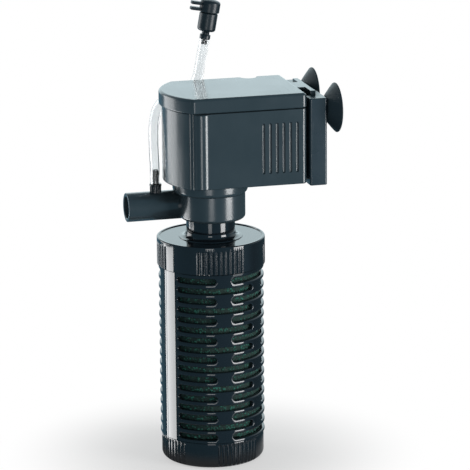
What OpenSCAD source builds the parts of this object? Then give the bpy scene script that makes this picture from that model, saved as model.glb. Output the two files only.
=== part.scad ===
// Internal canister filter: a pump head with side outlet and air line over a slotted foam canister.
// Millimetres, +Z up. The origin is the centre of the flat underside of the bottom cap.
// -X is the outlet side, +X the bracket side, -Y the front.

/* [Canister] */
// Outer diameter of the slotted cup
cup_d = 60; // [58:0.5:61]
// Visible height of the slotted cup
cup_h = 99.5; // [99:0.5:130]
// Wall of the slotted cup
cup_wall = 2.2; // [1.8:0.1:2.6]
// Outer diameter of the top ring
ring_d = 61.6; // [61.6:0.2:66]
// Height of the top ring
ring_h = 16.2; // [15:0.2:22]
// Wall of the top ring
ring_wall = 2.2; // [1.8:0.1:2.6]
// Outer diameter of the bottom cap
cap_d = 58.8; // [58:0.2:60]
// Height of the bottom cap
cap_h = 15; // [13:0.5:20]
// Wall of the bottom cap
cap_wall = 2.4; // [2:0.1:2.8]
// Radius of the bottom cap's lower edge
cap_edge_r = 3.5; // [1:0.5:5]
// Thickness of the floors and inner ledges
ledge_t = 1.5; // [1:0.1:1.6]

/* [Slots] */
// Height of one slot
slot_h = 3.2; // [2:0.2:4]
// Distance from one row of slots to the next
slot_pitch = 5.75; // [5.5:0.05:6]
// Height of the lowest row above the bottom of the cup
slot_first = 3.5; // [3.3:0.1:4]
// Width of the plain strip between two fields of slots, in degrees
strip_a = 30; // [20:1:40]
// Web between the two slots of a row, in degrees
web_a = 18; // [12:1:24]
// Short slot of the odd rows, in degrees
odd_slot_a = 46; // [30:1:60]
// Short slot of the even rows, in degrees
even_slot_a = 37; // [30:1:60]
// Direction of the first plain strip, in degrees
strip_dir = -162; // [-180:1:-150]

/* [Grips] */
// Grip panels round the ring and round the cap
grip_n = 4; // [2:1:6]
// Grooves in one grip panel
grip_grooves = 10; // [6:1:12]
// Angle between two grooves
grip_pitch_a = 5.2; // [4:0.1:6]
// Radius of one groove
grip_r = 0.9; // [0.5:0.1:1]
// Plain band above the grooves
grip_band = 2.4; // [1.5:0.1:4]
// Direction of the ring's first panel
ring_grip_dir = -118; // [-180:1:180]
// Direction of the cap's first panel
cap_grip_dir = -96; // [-180:1:180]

/* [Bayonets] */
// Lugs on each bayonet
lug_n = 3; // [2:1:4]
// Width of one lug, in degrees
lug_a = 16; // [10:1:20]
// Height of one lug
lug_h = 1.8; // [1.4:0.1:2.4]
// How far a lug stands out of its spigot
lug_t = 1; // [0.6:0.1:1]
// Turn that frees the cup or the cap, in degrees
twist_a = 25; // [15:1:30]
// Length of the spigots that hold the lugs
spigot_h = 6.5; // [6:0.5:8]

/* [Neck and foam] */
// Outer diameter of the neck
neck_d = 27.8; // [25:0.2:30]
// Height of the neck
neck_h = 10.3; // [8:0.1:14]
// Radius between the neck and the ring's top
neck_fillet = 3; // [1:0.5:4]
// Bore of the neck
neck_bore = 16; // [12:0.5:17]
// Diameter of the spigot that plugs into the pump
plug_d = 20.6; // [19:0.2:22]
// Length of that spigot
plug_h = 3.6; // [3:0.1:4]
// Section radius of the two sealing rings
seal_r = 0.8; // [0.6:0.1:1]
// Outer diameter of the perforated core tube
core_d = 17.4; // [14:0.2:18]
// Wall of the core tube
core_wall = 1.4; // [1:0.1:2]
// Diameter of the core tube's holes
core_hole_d = 4; // [2:0.5:5]
// Distance from one row of holes to the next
core_pitch = 8.5; // [7:0.5:12]

/* [Pump chamber] */
// Outer diameter of the pump chamber
volute_d = 37.4; // [37:0.2:40]
// Height of the pump chamber below the flange
volute_h = 15.2; // [14.6:0.2:18]
// Offset of the chamber's casing from the pump axis
volute_x = 1.2; // [0:0.1:1.4]
// Radius of the chamber's lower edge
volute_edge_r = 2; // [1:0.5:3]
// Inner diameter of the pump chamber
chamber_d = 31; // [30:0.5:31.5]
// Floor between the neck's socket and the chamber
chamber_floor = 1.4; // [1:0.1:2]
// Outer diameter of the outlet
nozzle_d = 16.6; // [15.6:0.2:17]
// Bore of the outlet
nozzle_bore = 12.6; // [10:0.2:13]
// Distance from the pump axis to the outlet's mouth
nozzle_reach = 46.8; // [44:0.2:60]
// Distance from the pump axis back to the outlet's axis
nozzle_y = 10; // [9.6:0.1:10.4]
// Drop of the outlet's axis below the flange
nozzle_drop = 8.7; // [8.6:0.1:9]
// Outer diameter of the flange
flange_d = 42.8; // [42.4:0.2:44]
// Height of the flange
flange_h = 7.3; // [7:0.1:9]

/* [Motor head] */
// Width of the head, front to back
head_w = 56.2; // [54:0.2:58]
// Distance from the pump axis to the tip of the nose
head_left = 28.3; // [27.8:0.1:28.6]
// Distance from the pump axis to the flat end
head_right = 49.4; // [48:0.2:56]
// Radius of the nose, seen from above
nose_r = 38; // [36:0.5:42]
// Radius between the nose and the sides
corner_r = 3; // [2:0.5:6]
// Radius of the corners at the flat end
end_r = 2.5; // [1:0.5:4]
// Height of the motor housing
body_h = 43.6; // [42:0.2:50]
// Height of the lid
lid_h = 8.3; // [7.5:0.1:10]
// Radius of the lid's upper edge
lid_edge_r = 1.8; // [1:0.2:3]
// Wall of the housing and of the lid
head_wall = 2.2; // [1.8:0.1:2.6]
// Floor of the housing
head_floor = 2.7; // [2:0.1:3]
// How far the housing's nose stands back from the lid
nose_inset = 1.6; // [1:0.1:2]
// Length of the flat pilaster at each nose corner
pilaster_w = 7.4; // [5:0.2:9]
// How far the pilaster slopes back to the nose
pilaster_drop = 2.4; // [1:0.1:3]
// Open shadow line under the lid
reveal = 0.5; // [0.2:0.1:0.8]

/* [Side grooves] */
// Grooves on each side
groove_n = 6; // [3:1:6]
// Distance between two grooves
groove_pitch = 3.9; // [3:0.1:4]
// Width of a groove
groove_w = 1.7; // [1:0.1:2.4]
// Depth of a groove
groove_t = 0.8; // [0.4:0.1:1.2]
// Length of a groove
groove_h = 29; // [20:1:34]
// Height of the grooves' lower ends above the housing's underside
groove_low = 7; // [5:0.5:9]
// Distance from the flat end to the last groove
groove_end = 5.9; // [4:0.1:8]

/* [Motor] */
// Diameter of the ceramic shaft
shaft_d = 3; // [2:0.1:4]
// Diameter of the magnet
magnet_d = 17.6; // [15:0.2:18]
// Length of the magnet
magnet_h = 30; // [26:0.5:31]
// Radial gap between the magnet and the rotor well
well_gap = 0.8; // [0.5:0.1:1]
// Wall of the rotor well
well_wall = 1.4; // [1:0.1:1.6]
// Height of the laminated core
core_stack = 18; // [14:0.5:22]
// Width of the core's legs
leg_w = 7.5; // [6:0.5:8]
// Width of the coil along its core
coil_w = 21; // [16:0.5:22]
// Height of the wire wound on the bobbin
coil_t = 2.7; // [2:0.1:3.5]
// Blades on the impeller
blade_n = 6; // [4:1:8]
// Thickness of one blade
blade_t = 1.2; // [0.8:0.1:2]

/* [Bracket] */
// Thickness of the bracket
bracket_t = 10; // [9.5:0.1:12]
// Height of the bracket
bracket_h = 50; // [46:0.5:51]
// Outer plate of the bracket
bracket_plate = 3.7; // [3:0.1:4.2]
// Gap between the head's end and the bracket
bracket_gap = 1.6; // [1.2:0.1:2.4]
// Full width of the rail's head
rail_w = 37; // [30:0.5:37]
// Full width of the rail's web
rail_web = 15; // [10:0.5:18]
// Thickness of the rail's head
rail_t = 3; // [2.4:0.1:3.2]
// Thickness of the lips behind the rail's head
lip_t = 2.7; // [2:0.1:3]
// Open pocket above the lips
pocket_h = 6; // [4:0.5:10]

/* [Suction cups] */
// Diameter of a suction cup
sucker_d = 28; // [24:0.5:30]
// Depth of a suction cup
sucker_h = 6.7; // [6:0.1:8]
// Diameter of its back, at the bracket
sucker_back_d = 13; // [12:0.5:16]
// Diameter of its stem
sucker_stem_d = 5; // [4:0.2:5.4]
// Length of its stem
sucker_stem_h = 5.5; // [4:0.5:6]
// Thickness of its rim
sucker_rim = 0.9; // [0.6:0.1:1.5]
// Distance between the two cups
sucker_pitch = 46; // [45:0.5:46]
// Distance of the cups below the bracket's top
sucker_drop = 6.8; // [6:0.2:20]

/* [Air line] */
// Outer diameter of the air hose
hose_d = 6; // [5:0.2:6]
// Bore of the air hose
hose_bore = 4; // [3.8:0.1:4.2]
// Diameter of the stems that the hose is pushed on to
stem_d = 3.4; // [3:0.1:3.6]
// Air passage through the stems
air_d = 1.6; // [1:0.1:2]
// Diameter of the ribbed collar on the outlet
collar_d = 6.8; // [6.4:0.2:7.6]
// Diameter of the valve's body
valve_d = 10.5; // [9:0.5:12]
// Length of the valve's body
valve_h = 13.2; // [12:0.2:16]
// Diameter of the valve's knob
knob_d = 11.6; // [11.2:0.2:13]
// Height of the valve's knob
knob_h = 7.4; // [7.2:0.1:9]
// Length of the knob's two prongs
prong_l = 6; // [3:0.5:8]
// Thickness of one prong
prong_t = 1.8; // [1.4:0.1:2]

/* [Cord inlet] */
// Diameter of the cord inlet's bore
inlet_bore = 5.8; // [4:0.2:6.4]
// Outer diameter of the rubber inlet
inlet_d = 7.8; // [7.6:0.2:8.4]
// Distance from the pump axis to the inlet
inlet_x = 30.1; // [26:0.1:34]

/* [Fits] */
// Gap between pieces that turn or slide past each other
free_gap = 0.3; // [0.3:0.05:0.4]
// Radial play of the shaft in its bushes and magnet
run_fit = 0.05; // [0.02:0.01:0.1]
// Gap between pieces that are pushed together
seat_gap = 0.1; // [0.05:0.05:0.2]

/* [Hidden] */
$fn = 96;

// Heights of the joins, from the base up
z_cup = cap_h;
z_ring = z_cup + cup_h;
z_neck = z_ring + ring_h;
z_volute = z_neck + neck_h;
z_flange = z_volute + volute_h;
z_head = z_flange + flange_h;
z_seam = z_head + body_h;
z_top = z_seam + lid_h;

// Canister
cup_r = cup_d / 2;
cup_in = cup_r - cup_wall;
ring_in = ring_d / 2 - ring_wall;
cap_in = cap_d / 2 - cap_wall;
top_spigot_r = ring_in - free_gap;
low_spigot_r = cap_in - free_gap;
spigot_wall = 2;
slot_rows = floor((cup_h - 2 * slot_first) / slot_pitch) + 1;
field_a = 180 - strip_a;
slot_edge_a = 1.5;
ring_plate = 2.4;
rim_h = 0.5;
rim_w = 1.3;
core_r = core_d / 2;
core_in = core_r - core_wall;
socket_in = core_r + 0.25;
socket_h = 8;
boss_r = core_in - free_gap;
boss_h = 5;
cap_floor = 2.4;
z_plate = z_neck - ring_plate;

// Pump
plug_r = plug_d / 2;
socket_r = plug_r + 0.6;
z_socket = z_volute + plug_h + 0.4;
z_floor = z_socket + chamber_floor;
chamber_r = chamber_d / 2;
nozzle_r = nozzle_d / 2;
nozzle_z = z_flange - nozzle_drop;
throat_step = 0.4;
lock_r = chamber_r + 2.1;
z_lock_top = z_flange + 4;
z_lock_seal = z_flange + 1.2 + seal_r;
z_plug_seal = z_volute + plug_h / 2;
shaft_r = shaft_d / 2;
bush_wall = 1.1;
bush_r = shaft_r + run_fit + bush_wall;
bush_h = 3.4;
z_bush = z_socket + 0.2;
z_impeller = z_bush + bush_h + 0.5;
blade_h = z_flange + 1 - z_impeller;
z_magnet = z_head + 1.5;
magnet_r = magnet_d / 2;
well_r = magnet_r + well_gap;
well_out = well_r + well_wall;
z_well = z_magnet + magnet_h + 0.6 + bush_h;

// Head
body_w = head_w - 0.3;
body_left = head_left - nose_inset;
body_right = head_right - 0.15;
side_y = body_w / 2;
rail_x = head_right + bracket_gap + lip_t + free_gap;
bracket_x = head_right + bracket_gap;
bracket_out = bracket_x + bracket_t;
z_bracket = z_head - 1.5;
stop_h = 2.4;
sucker_z = z_bracket + bracket_h - sucker_drop;
bobbin_t = 1.2;
bobbin_rim = 0.5;
z_core = z_head + head_floor + free_gap + bobbin_rim + coil_t + bobbin_t + seat_gap;
leg_y = well_out + 0.3;
core_left = -9;
yoke_x = 22;
inlet_r = inlet_d / 2;
inlet_y = side_y - 0.6;
inlet_wall = 1.2;
inlet_low = z_seam - 9;
inlet_top = z_seam + 3.8;
notch_r = inlet_r + 1;

// Air line. The hose leaves the collar upwards, passes behind the head and ends at the valve.
collar_x = -29.5;
z_collar = nozzle_z + nozzle_r;
collar_h = 4.5;
hose_route = [
    [-29.5, 10, 160.6], [-29.5, 10, 165.5], [-29.5, 10, 170.5], [-29.5, 11, 176],
    [-29.2, 13, 181.5], [-28.7, 15.5, 187], [-27.7, 18.8, 192.2], [-26, 22.6, 196.7],
    [-23.4, 26.6, 200.5], [-19.8, 30, 203], [-15.2, 32.3, 204.4], [-10, 33.3, 205.2],
    [-5, 33.5, 207], [-1, 33.5, 210.5], [1.6, 33.5, 215.3], [2.9, 33.4, 220.8],
    [3.9, 33.2, 226.4], [5, 33, 232], [6, 33, 237.6]];
hose_sides = 12;
hose_last = len(hose_route) - 1;
valve_pos = hose_route[hose_last];
valve_tilt = atan2(hose_route[hose_last][0] - hose_route[hose_last - 1][0],
    hose_route[hose_last][2] - hose_route[hose_last - 1][2]);
valve_neck = 4.7;
valve_edge_r = 1.6;
prong_pitch = prong_t + 1.6;
prong_w = 4.6;

// ---- Functions and shared shapes ----

// Points of an arc round c, from angle a0 to a1
function arc_points(c, r, a0, a1, n) =
    [for (i = [0:n]) let (a = a0 + (a1 - a0) * i / n) [c[0] + r * cos(a), c[1] + r * sin(a)]];

// Outline of the head from above: round nose on the left, flat sides, flat end on the right
function head_outline(w, left, right, nose, corner, end) =
    let (
        nose_x = nose - left,
        corner_y = w / 2 - corner,
        reach = nose - corner,
        corner_x = nose_x - sqrt(reach * reach - corner_y * corner_y),
        a = asin(corner_y / reach)
    )
    concat(
        arc_points([nose_x, 0], nose, 180 - a, 180 + a, 24),
        arc_points([corner_x, -corner_y], corner, 180 + a, 270, 6),
        arc_points([right - end, end - w / 2], end, 270, 360, 6),
        arc_points([right - end, w / 2 - end], end, 0, 90, 6),
        arc_points([corner_x, corner_y], corner, 90, 180 - a, 6)
    );

// The lid's outline, drawn in by a distance
function lid_outline(inset) =
    head_outline(head_w - 2 * inset, head_left - inset, head_right - inset, nose_r - inset,
        max(corner_r - inset, 0.3), max(end_r - inset, 0.3));

// The housing's outline, drawn in by a distance
function body_outline(inset) =
    head_outline(body_w - 2 * inset, body_left - inset, body_right - inset,
        nose_r - nose_inset - inset, max(corner_r - inset, 0.3), max(end_r - inset, 0.3));

// Rounded rectangle from its centre
function round_rect(w, h, r) = concat(
    arc_points([w / 2 - r, h / 2 - r], r, 0, 90, 6),
    arc_points([r - w / 2, h / 2 - r], r, 90, 180, 6),
    arc_points([r - w / 2, r - h / 2], r, 180, 270, 6),
    arc_points([w / 2 - r, r - h / 2], r, 270, 360, 6));

function unit(v) = v / norm(v);

// A plain tube between two radii
module tube(r_out, r_in, z0, z1) {
    translate([0, 0, z0]) difference() {
        cylinder(r = r_out, h = z1 - z0);
        translate([0, 0, -1]) cylinder(r = r_in, h = z1 - z0 + 2);
    }
}

// A part of a ring, from angle a0 over a sweep
module sector(r_in, r_out, z0, h, a0, sweep) {
    rotate([0, 0, a0]) rotate_extrude(angle = sweep)
        translate([r_in, z0]) square([r_out - r_in, h]);
}

// Upright grooves in panels round a ring or a cap
module grip_cuts(r, z0, z1, dir) {
    for (p = [0:grip_n - 1], i = [0:grip_grooves - 1])
        rotate([0, 0, dir + p * 360 / grip_n + i * grip_pitch_a])
            translate([r + grip_r * 0.2, 0, z0]) cylinder(r = grip_r, h = z1 - z0, $fn = 24);
}

// Bayonet lugs on a spigot
module lugs(r, z) {
    for (i = [0:lug_n - 1])
        sector(r - 0.6, r + lug_t, z, lug_h, i * 360 / lug_n, lug_a);
}

// The way that the lugs turn in, with its open entry; turn is the direction of release
module lug_ways(r, z, z_open, turn) {
    a_free = 1;
    a_entry = 0.6;
    way = lug_a + twist_a + 2 * a_free;
    start = turn > 0 ? -a_free : -a_free - twist_a;
    entry = turn > 0 ? twist_a - a_entry : -twist_a - a_entry;
    for (i = [0:lug_n - 1]) {
        a = i * 360 / lug_n;
        sector(r - 0.5, r + lug_t + free_gap, z - free_gap, lug_h + 2 * free_gap, a + start, way);
        sector(r - 0.6, r + lug_t + free_gap + 0.1, min(z, z_open), abs(z_open - z), a + entry,
            lug_a + 2 * a_entry);
    }
}

// One slot through the wall of the cup
module cup_slot(z, a0, sweep) {
    sector(cup_in - 1, cup_r + 1, z - slot_h / 2, slot_h, a0, sweep);
}

// A cylinder that stands on a point
module cylinder_at(p, r, h) {
    translate(p) cylinder(r = r, h = h);
}

// A sealing ring that bears on a bore of radius r
module seal(r, z) {
    translate([0, 0, z]) rotate_extrude() translate([r - run_fit - seal_r, 0])
        circle(r = seal_r, $fn = 32);
}

// The groove that holds that ring, cut into the spigot inside the bore
module seal_groove(r, z) {
    tube(r + 1, r - 2 * (seal_r + run_fit), z - seal_r - seat_gap, z + seal_r + seat_gap);
}

// ---- Canister ----

module bottom_cap() {
    r = cap_d / 2;
    color([0.07, 0.08, 0.09]) {
        difference() {
            rotate_extrude() polygon(concat([[0, 0]],
                arc_points([r - cap_edge_r, cap_edge_r], cap_edge_r, -90, 0, 8),
                [[r, cap_h], [0, cap_h]]));
            translate([0, 0, cap_floor]) cylinder(r = cap_in, h = cap_h);
            grip_cuts(r, 1, cap_h - grip_band / 2, cap_grip_dir);
            lug_ways(low_spigot_r, z_cup - spigot_h + 1, cap_h + 1, -1);
        }
        tube(boss_r, boss_r - 1.6, cap_floor - 0.5, cap_floor + boss_h);
    }
}

module filter_cup() {
    z0 = z_cup + free_gap;
    z1 = z_ring - free_gap;
    color([0.08, 0.09, 0.10]) difference() {
        union() {
            tube(cup_r, cup_in, z0, z1);
            tube(cup_r, low_spigot_r - spigot_wall, z0, z0 + ledge_t);
            tube(low_spigot_r, low_spigot_r - spigot_wall, z_cup - spigot_h, z0 + ledge_t);
            tube(cup_r, top_spigot_r - spigot_wall, z1 - ledge_t, z1);
            tube(top_spigot_r, top_spigot_r - spigot_wall, z1 - ledge_t, z_ring + spigot_h);
            lugs(low_spigot_r, z_cup - spigot_h + 1);
            lugs(top_spigot_r, z_ring + spigot_h - 1 - lug_h);
        }
        for (side = [0, 180], row = [0:slot_rows - 1]) {
            short = row % 2 == 0 ? odd_slot_a : even_slot_a;
            long = field_a - 2 * slot_edge_a - web_a - short;
            first = row % 2 == 0 ? short : long;
            a0 = strip_dir + strip_a / 2 + slot_edge_a + side;
            z = z_cup + slot_first + row * slot_pitch;
            cup_slot(z, a0, first);
            cup_slot(z, a0 + first + web_a, short + long - first);
        }
        for (side = [0, 180], edge = [-1, 1])
            rotate([0, 0, strip_dir + side + edge * strip_a / 2])
                translate([cup_r, 0, z0 - 1]) cylinder(r = 0.5, h = cup_h + 2, $fn = 16);
    }
}

module foam_sponge() {
    color([0.05, 0.25, 0.22])
        tube(cup_in - 0.5, core_r + 0.4, z_cup + ledge_t + 2 * free_gap,
            z_ring - ledge_t - 2 * free_gap);
}

module core_tube() {
    z0 = cap_floor + free_gap;
    z1 = z_plate - free_gap;
    rows = floor((cup_h - 2 * core_pitch) / core_pitch) + 1;
    color([0.10, 0.11, 0.12]) difference() {
        tube(core_r, core_in, z0, z1);
        for (row = [0:rows - 1], i = [0, 1])
            translate([0, 0, z_cup + core_pitch * (row + 0.6)])
                rotate([0, 0, i * 90 + (row % 2) * 45]) rotate([0, 90, 0])
                    cylinder(d = core_hole_d, h = core_d + 2, center = true, $fn = 24);
    }
}

module canister_head() {
    r = ring_d / 2;
    nr = neck_d / 2;
    zp = z_neck - rim_h;
    bore = neck_bore / 2;
    color([0.06, 0.07, 0.08]) difference() {
        union() {
            rotate_extrude() polygon(concat(
                [[bore, z_plate], [ring_in, z_plate], [ring_in, z_ring], [r, z_ring]],
                arc_points([r - 0.8, z_neck - 0.8], 0.8, 0, 90, 4),
                [[r - rim_w, z_neck], [r - rim_w - 0.4, zp]],
                arc_points([nr + neck_fillet, zp + neck_fillet], neck_fillet, 270, 180, 6),
                [[nr, z_volute - free_gap], [plug_r, z_volute - free_gap],
                    [plug_r, z_volute + plug_h], [bore, z_volute + plug_h]]));
            tube(socket_in + 1.4, socket_in, z_plate - socket_h, z_plate + 0.2);
        }
        grip_cuts(r, z_ring - 1, z_neck - grip_band, ring_grip_dir);
        lug_ways(top_spigot_r, z_ring + spigot_h - 1 - lug_h, z_ring - 1, 1);
        seal_groove(socket_r, z_plug_seal);
    }
}

module neck_seal() {
    color([0.03, 0.03, 0.03]) seal(socket_r, z_plug_seal);
}

// ---- Pump ----

module pump_volute() {
    vr = volute_d / 2;
    z1 = z_flange - seat_gap;
    inner_end = plug_r + 5;
    color([0.13, 0.15, 0.16]) {
        difference() {
            union() {
                translate([volute_x, 0, 0]) rotate_extrude() polygon(concat([[0, z_volute]],
                    arc_points([vr - volute_edge_r, z_volute + volute_edge_r], volute_edge_r,
                        -90, 0, 6),
                    [[vr, z1], [0, z1]]));
                cylinder_at([0, 0, z1 - 1], lock_r, z_lock_top - z1 + 1);
                translate([-nozzle_reach, nozzle_y, nozzle_z]) rotate([0, 90, 0])
                    cylinder(r = nozzle_r, h = nozzle_reach - inner_end);
            }
            cylinder_at([0, 0, z_volute - 1], socket_r, z_socket - z_volute + 1);
            cylinder_at([0, 0, z_floor], chamber_r, z_flange + flange_h - z_floor);
            cylinder_at([0, 0, z_socket - 1], neck_bore / 2, 10);
            translate([-nozzle_reach - 1, nozzle_y, nozzle_z]) rotate([0, 90, 0])
                cylinder(d = nozzle_bore, h = nozzle_reach + 1 - inner_end);
            intersection() {
                translate([-inner_end - 1, nozzle_y, nozzle_z]) rotate([0, 90, 0])
                    cylinder(d = nozzle_bore - 2 * throat_step, h = inner_end);
                translate([-inner_end - 2, 0, z_floor]) cube([inner_end, volute_d, volute_h]);
            }
            translate([collar_x, nozzle_y, nozzle_z]) cylinder(d = stem_d + 0.2, h = nozzle_d);
            seal_groove(lock_r + free_gap, z_lock_seal);
        }
        difference() {
            union() {
                cylinder_at([0, 0, z_socket], bush_r + 1.1, bush_h);
                for (i = [0:2]) rotate([0, 0, 60 + i * 120]) translate([0, -0.9, z_socket])
                    cube([neck_bore / 2 + 0.5, 1.8, chamber_floor]);
            }
            cylinder_at([0, 0, z_socket - 1], bush_r + run_fit / 2, bush_h + 2);
        }
    }
}

module volute_seal() {
    color([0.03, 0.03, 0.03]) seal(lock_r + free_gap, z_lock_seal);
}

module inlet_bush() {
    color([0.12, 0.12, 0.12]) tube(bush_r, shaft_r + run_fit, z_bush, z_bush + bush_h - 0.4);
}

module impeller() {
    hub_r = shaft_r + 2.4;
    disc_r = chamber_r - 1.2;
    color([0.75, 0.77, 0.78]) difference() {
        union() {
            cylinder_at([0, 0, z_impeller], hub_r, z_magnet - seat_gap - z_impeller);
            cylinder_at([0, 0, z_impeller + blade_h - 0.2], disc_r, 1.4);
            for (i = [0:blade_n - 1]) rotate([0, 0, i * 360 / blade_n])
                translate([hub_r - 1, -blade_t / 2, z_impeller])
                    cube([disc_r - hub_r + 0.6, blade_t, blade_h]);
        }
        cylinder_at([0, 0, z_impeller - 1], shaft_r + run_fit, magnet_h);
    }
}

module rotor_magnet() {
    color([0.28, 0.28, 0.30]) tube(magnet_r, shaft_r + run_fit, z_magnet, z_magnet + magnet_h);
}

module rotor_shaft() {
    z1 = z_well - 0.5;
    color([0.93, 0.92, 0.88]) cylinder_at([0, 0, z_bush + 0.3], shaft_r, z1 - z_bush - 0.3);
}

module well_bush() {
    z0 = z_magnet + magnet_h + 0.4;
    color([0.12, 0.12, 0.12]) tube(bush_r, shaft_r + run_fit, z0, z_well - seat_gap);
}

// ---- Motor head ----

// The T-shaped rail on the flat end, from z0 to z1
module rail(z0, z1) {
    translate([body_right - 1, -rail_web / 2, z0])
        cube([rail_x - body_right + 1.5, rail_web, z1 - z0]);
    translate([rail_x, -rail_w / 2, z0]) cube([rail_t, rail_w, z1 - z0]);
}

// Long shallow grooves on one side
module side_grooves() {
    x_last = head_right - groove_end;
    z0 = z_head + groove_low;
    for (i = [0:groove_n - 1]) translate([x_last - i * groove_pitch, -side_y, z0]) {
        translate([-groove_w / 2, -1, groove_w / 2])
            cube([groove_w, 1 + groove_t, groove_h - groove_w]);
        for (z = [groove_w / 2, groove_h - groove_w / 2])
            translate([0, groove_t, z]) rotate([90, 0, 0])
                cylinder(d = groove_w, h = groove_t + 1, $fn = 24);
    }
}

module motor_housing() {
    z1 = z_seam - reveal;
    nose_x = nose_r - head_left;
    corner_y = head_w / 2 - corner_r;
    corner_x = nose_x - sqrt(pow(nose_r - corner_r, 2) - corner_y * corner_y);
    pil_x = corner_x - corner_r + 1;
    color([0.22, 0.26, 0.28]) {
        difference() {
            union() {
                translate([0, 0, z_head]) linear_extrude(z1 - z_head) polygon(body_outline(0));
                for (s = [-1, 1]) translate([0, 0, z_head]) linear_extrude(z1 - z_head)
                    polygon([[pil_x, s * (side_y - pilaster_drop)],
                        [pil_x + pilaster_w, s * (side_y + 0.1)],
                        [pil_x + pilaster_w, s * (side_y - 4)],
                        [pil_x + 2, s * (side_y - 7)],
                        [pil_x, s * (side_y - 5)]]);
                rotate_extrude() polygon(concat([[0, z_flange]],
                    arc_points([flange_d / 2 - 2.5, z_flange + 2.5], 2.5, -90, 0, 6),
                    [[flange_d / 2, z_head + 0.5], [0, z_head + 0.5]]));
                rail(z_head, z1);
                translate([body_right - 1, -rail_w / 2, z_head])
                    cube([rail_x - body_right + 1.2, rail_w, stop_h]);
                cylinder_at([inlet_x, inlet_y, inlet_low - 3], inlet_r + inlet_wall,
                    z1 - inlet_low + 3);
            }
            difference() {
                translate([0, 0, z_head + head_floor]) linear_extrude(body_h)
                    polygon(body_outline(head_wall));
                cylinder_at([0, 0, z_head], well_out, z_well + well_wall - z_head);
                cylinder_at([inlet_x, inlet_y, inlet_low - 3], inlet_r + inlet_wall, 50);
            }
            cylinder_at([0, 0, z_flange - 1], lock_r + free_gap, z_lock_top + free_gap - z_flange + 1);
            cylinder_at([0, 0, z_flange], well_r, z_magnet + magnet_h + 0.3 - z_flange);
            cylinder_at([0, 0, z_head], bush_r + run_fit / 2, z_well - z_head);
            side_grooves();
            mirror([0, 1, 0]) side_grooves();
            cylinder_at([inlet_x, inlet_y, inlet_low], inlet_r + seat_gap / 2, 50);
            translate([inlet_x, inlet_y, inlet_low + 2.2]) rotate([90, 0, 0])
                cylinder(d = 3, h = 8, $fn = 24);
        }
        for (x = [core_left + 4, yoke_x], s = [-1, 1])
            cylinder_at([x, s * (leg_y + leg_w / 2), z_head + head_floor - 0.5], 2.5,
                z_core - seat_gap - z_head - head_floor + 0.5);
    }
}

module head_lid() {
    steps = 4;
    lip = 3;
    color([0.30, 0.35, 0.38]) difference() {
        union() {
            hull() {
                translate([0, 0, z_seam]) linear_extrude(0.1) polygon(lid_outline(0));
                for (i = [0:steps]) let (a = 90 * i / steps)
                    translate([0, 0, z_top - lid_edge_r * (1 - sin(a)) - 0.05])
                        linear_extrude(0.05) polygon(lid_outline(lid_edge_r * (1 - cos(a))));
            }
            translate([0, 0, z_seam - lip]) linear_extrude(lip + 1)
                polygon(body_outline(head_wall + seat_gap));
            rail(z_seam, z_top - 0.8);
        }
        difference() {
            translate([0, 0, z_seam - lip - 1]) linear_extrude(lid_h + lip + 1 - head_wall)
                polygon(body_outline(head_wall + seat_gap + 1.6));
            cylinder_at([inlet_x, inlet_y, z_seam - lip - 1], notch_r + 1.5, 50);
        }
        cylinder_at([inlet_x, inlet_y, z_seam - lip - 1], notch_r, 50);
        cylinder_at([inlet_x, inlet_y, z_seam - lip - 1], inlet_r + inlet_wall + seat_gap, lip + 1);
        translate([inlet_x - notch_r, inlet_y, z_seam - lip - 1]) cube([2 * notch_r, 20, 50]);
    }
}

module stator_core() {
    w = 2 * (leg_y + leg_w);
    color([0.55, 0.56, 0.58]) translate([0, 0, z_core]) difference() {
        translate([core_left, -w / 2, 0]) cube([yoke_x + leg_w - core_left, w, core_stack]);
        cylinder_at([0, 0, -1], leg_y, core_stack + 2);
        translate([0, -coil_w / 2 - 1.6, -1]) cube([yoke_x, coil_w + 3.2, core_stack + 2]);
        translate([core_left - 1, -well_r, -1]) cube([10, 2 * well_r, core_stack + 2]);
        for (x = [core_left + 2.5, yoke_x + leg_w - 2.5], s = [-1, 1])
            cylinder_at([x, s * (w / 2 - 2.5), -1], 1.2, core_stack + 2);
    }
}

module coil_bobbin() {
    in_w = leg_w + 2 * seat_gap;
    in_h = core_stack + 2 * seat_gap;
    cy = coil_w / 2 + bobbin_t;
    flange = 2 * (bobbin_t + coil_t + bobbin_rim);
    color([0.92, 0.90, 0.82])
        translate([yoke_x + leg_w / 2, 0, z_core + core_stack / 2]) rotate([90, 0, 0])
            difference() {
                union() {
                    translate([0, 0, -cy]) linear_extrude(2 * cy)
                        polygon(round_rect(in_w + 2 * bobbin_t, in_h + 2 * bobbin_t, 1));
                    for (z = [-cy, cy - bobbin_t]) translate([0, 0, z]) linear_extrude(bobbin_t)
                        polygon(round_rect(in_w + flange, in_h + flange, 2));
                }
                translate([-in_w / 2, -in_h / 2, -cy - 1]) cube([in_w, in_h, 2 * cy + 2]);
            }
}

module coil_winding() {
    in_w = leg_w + 2 * (seat_gap + bobbin_t) + seat_gap;
    in_h = core_stack + 2 * (seat_gap + bobbin_t) + seat_gap;
    t = 2 * coil_t - seat_gap;
    l = coil_w - 2 * seat_gap;
    color([0.72, 0.36, 0.16])
        translate([yoke_x + leg_w / 2, 0, z_core + core_stack / 2]) rotate([90, 0, 0])
            translate([0, 0, -l / 2]) linear_extrude(l) difference() {
                polygon(round_rect(in_w + t, in_h + t, 2.5));
                polygon(round_rect(in_w, in_h, 1.1));
            }
}

module cord_gland() {
    z0 = inlet_low + seat_gap;
    color([0.05, 0.05, 0.06]) translate([inlet_x, inlet_y, 0]) difference() {
        union() {
            cylinder_at([0, 0, z0], inlet_r, inlet_top - z0);
            cylinder_at([0, 0, z_seam - reveal + seat_gap], notch_r - 0.3, 1.4);
        }
        cylinder_at([0, 0, z0 + 4], inlet_bore / 2, inlet_top);
    }
}

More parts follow.
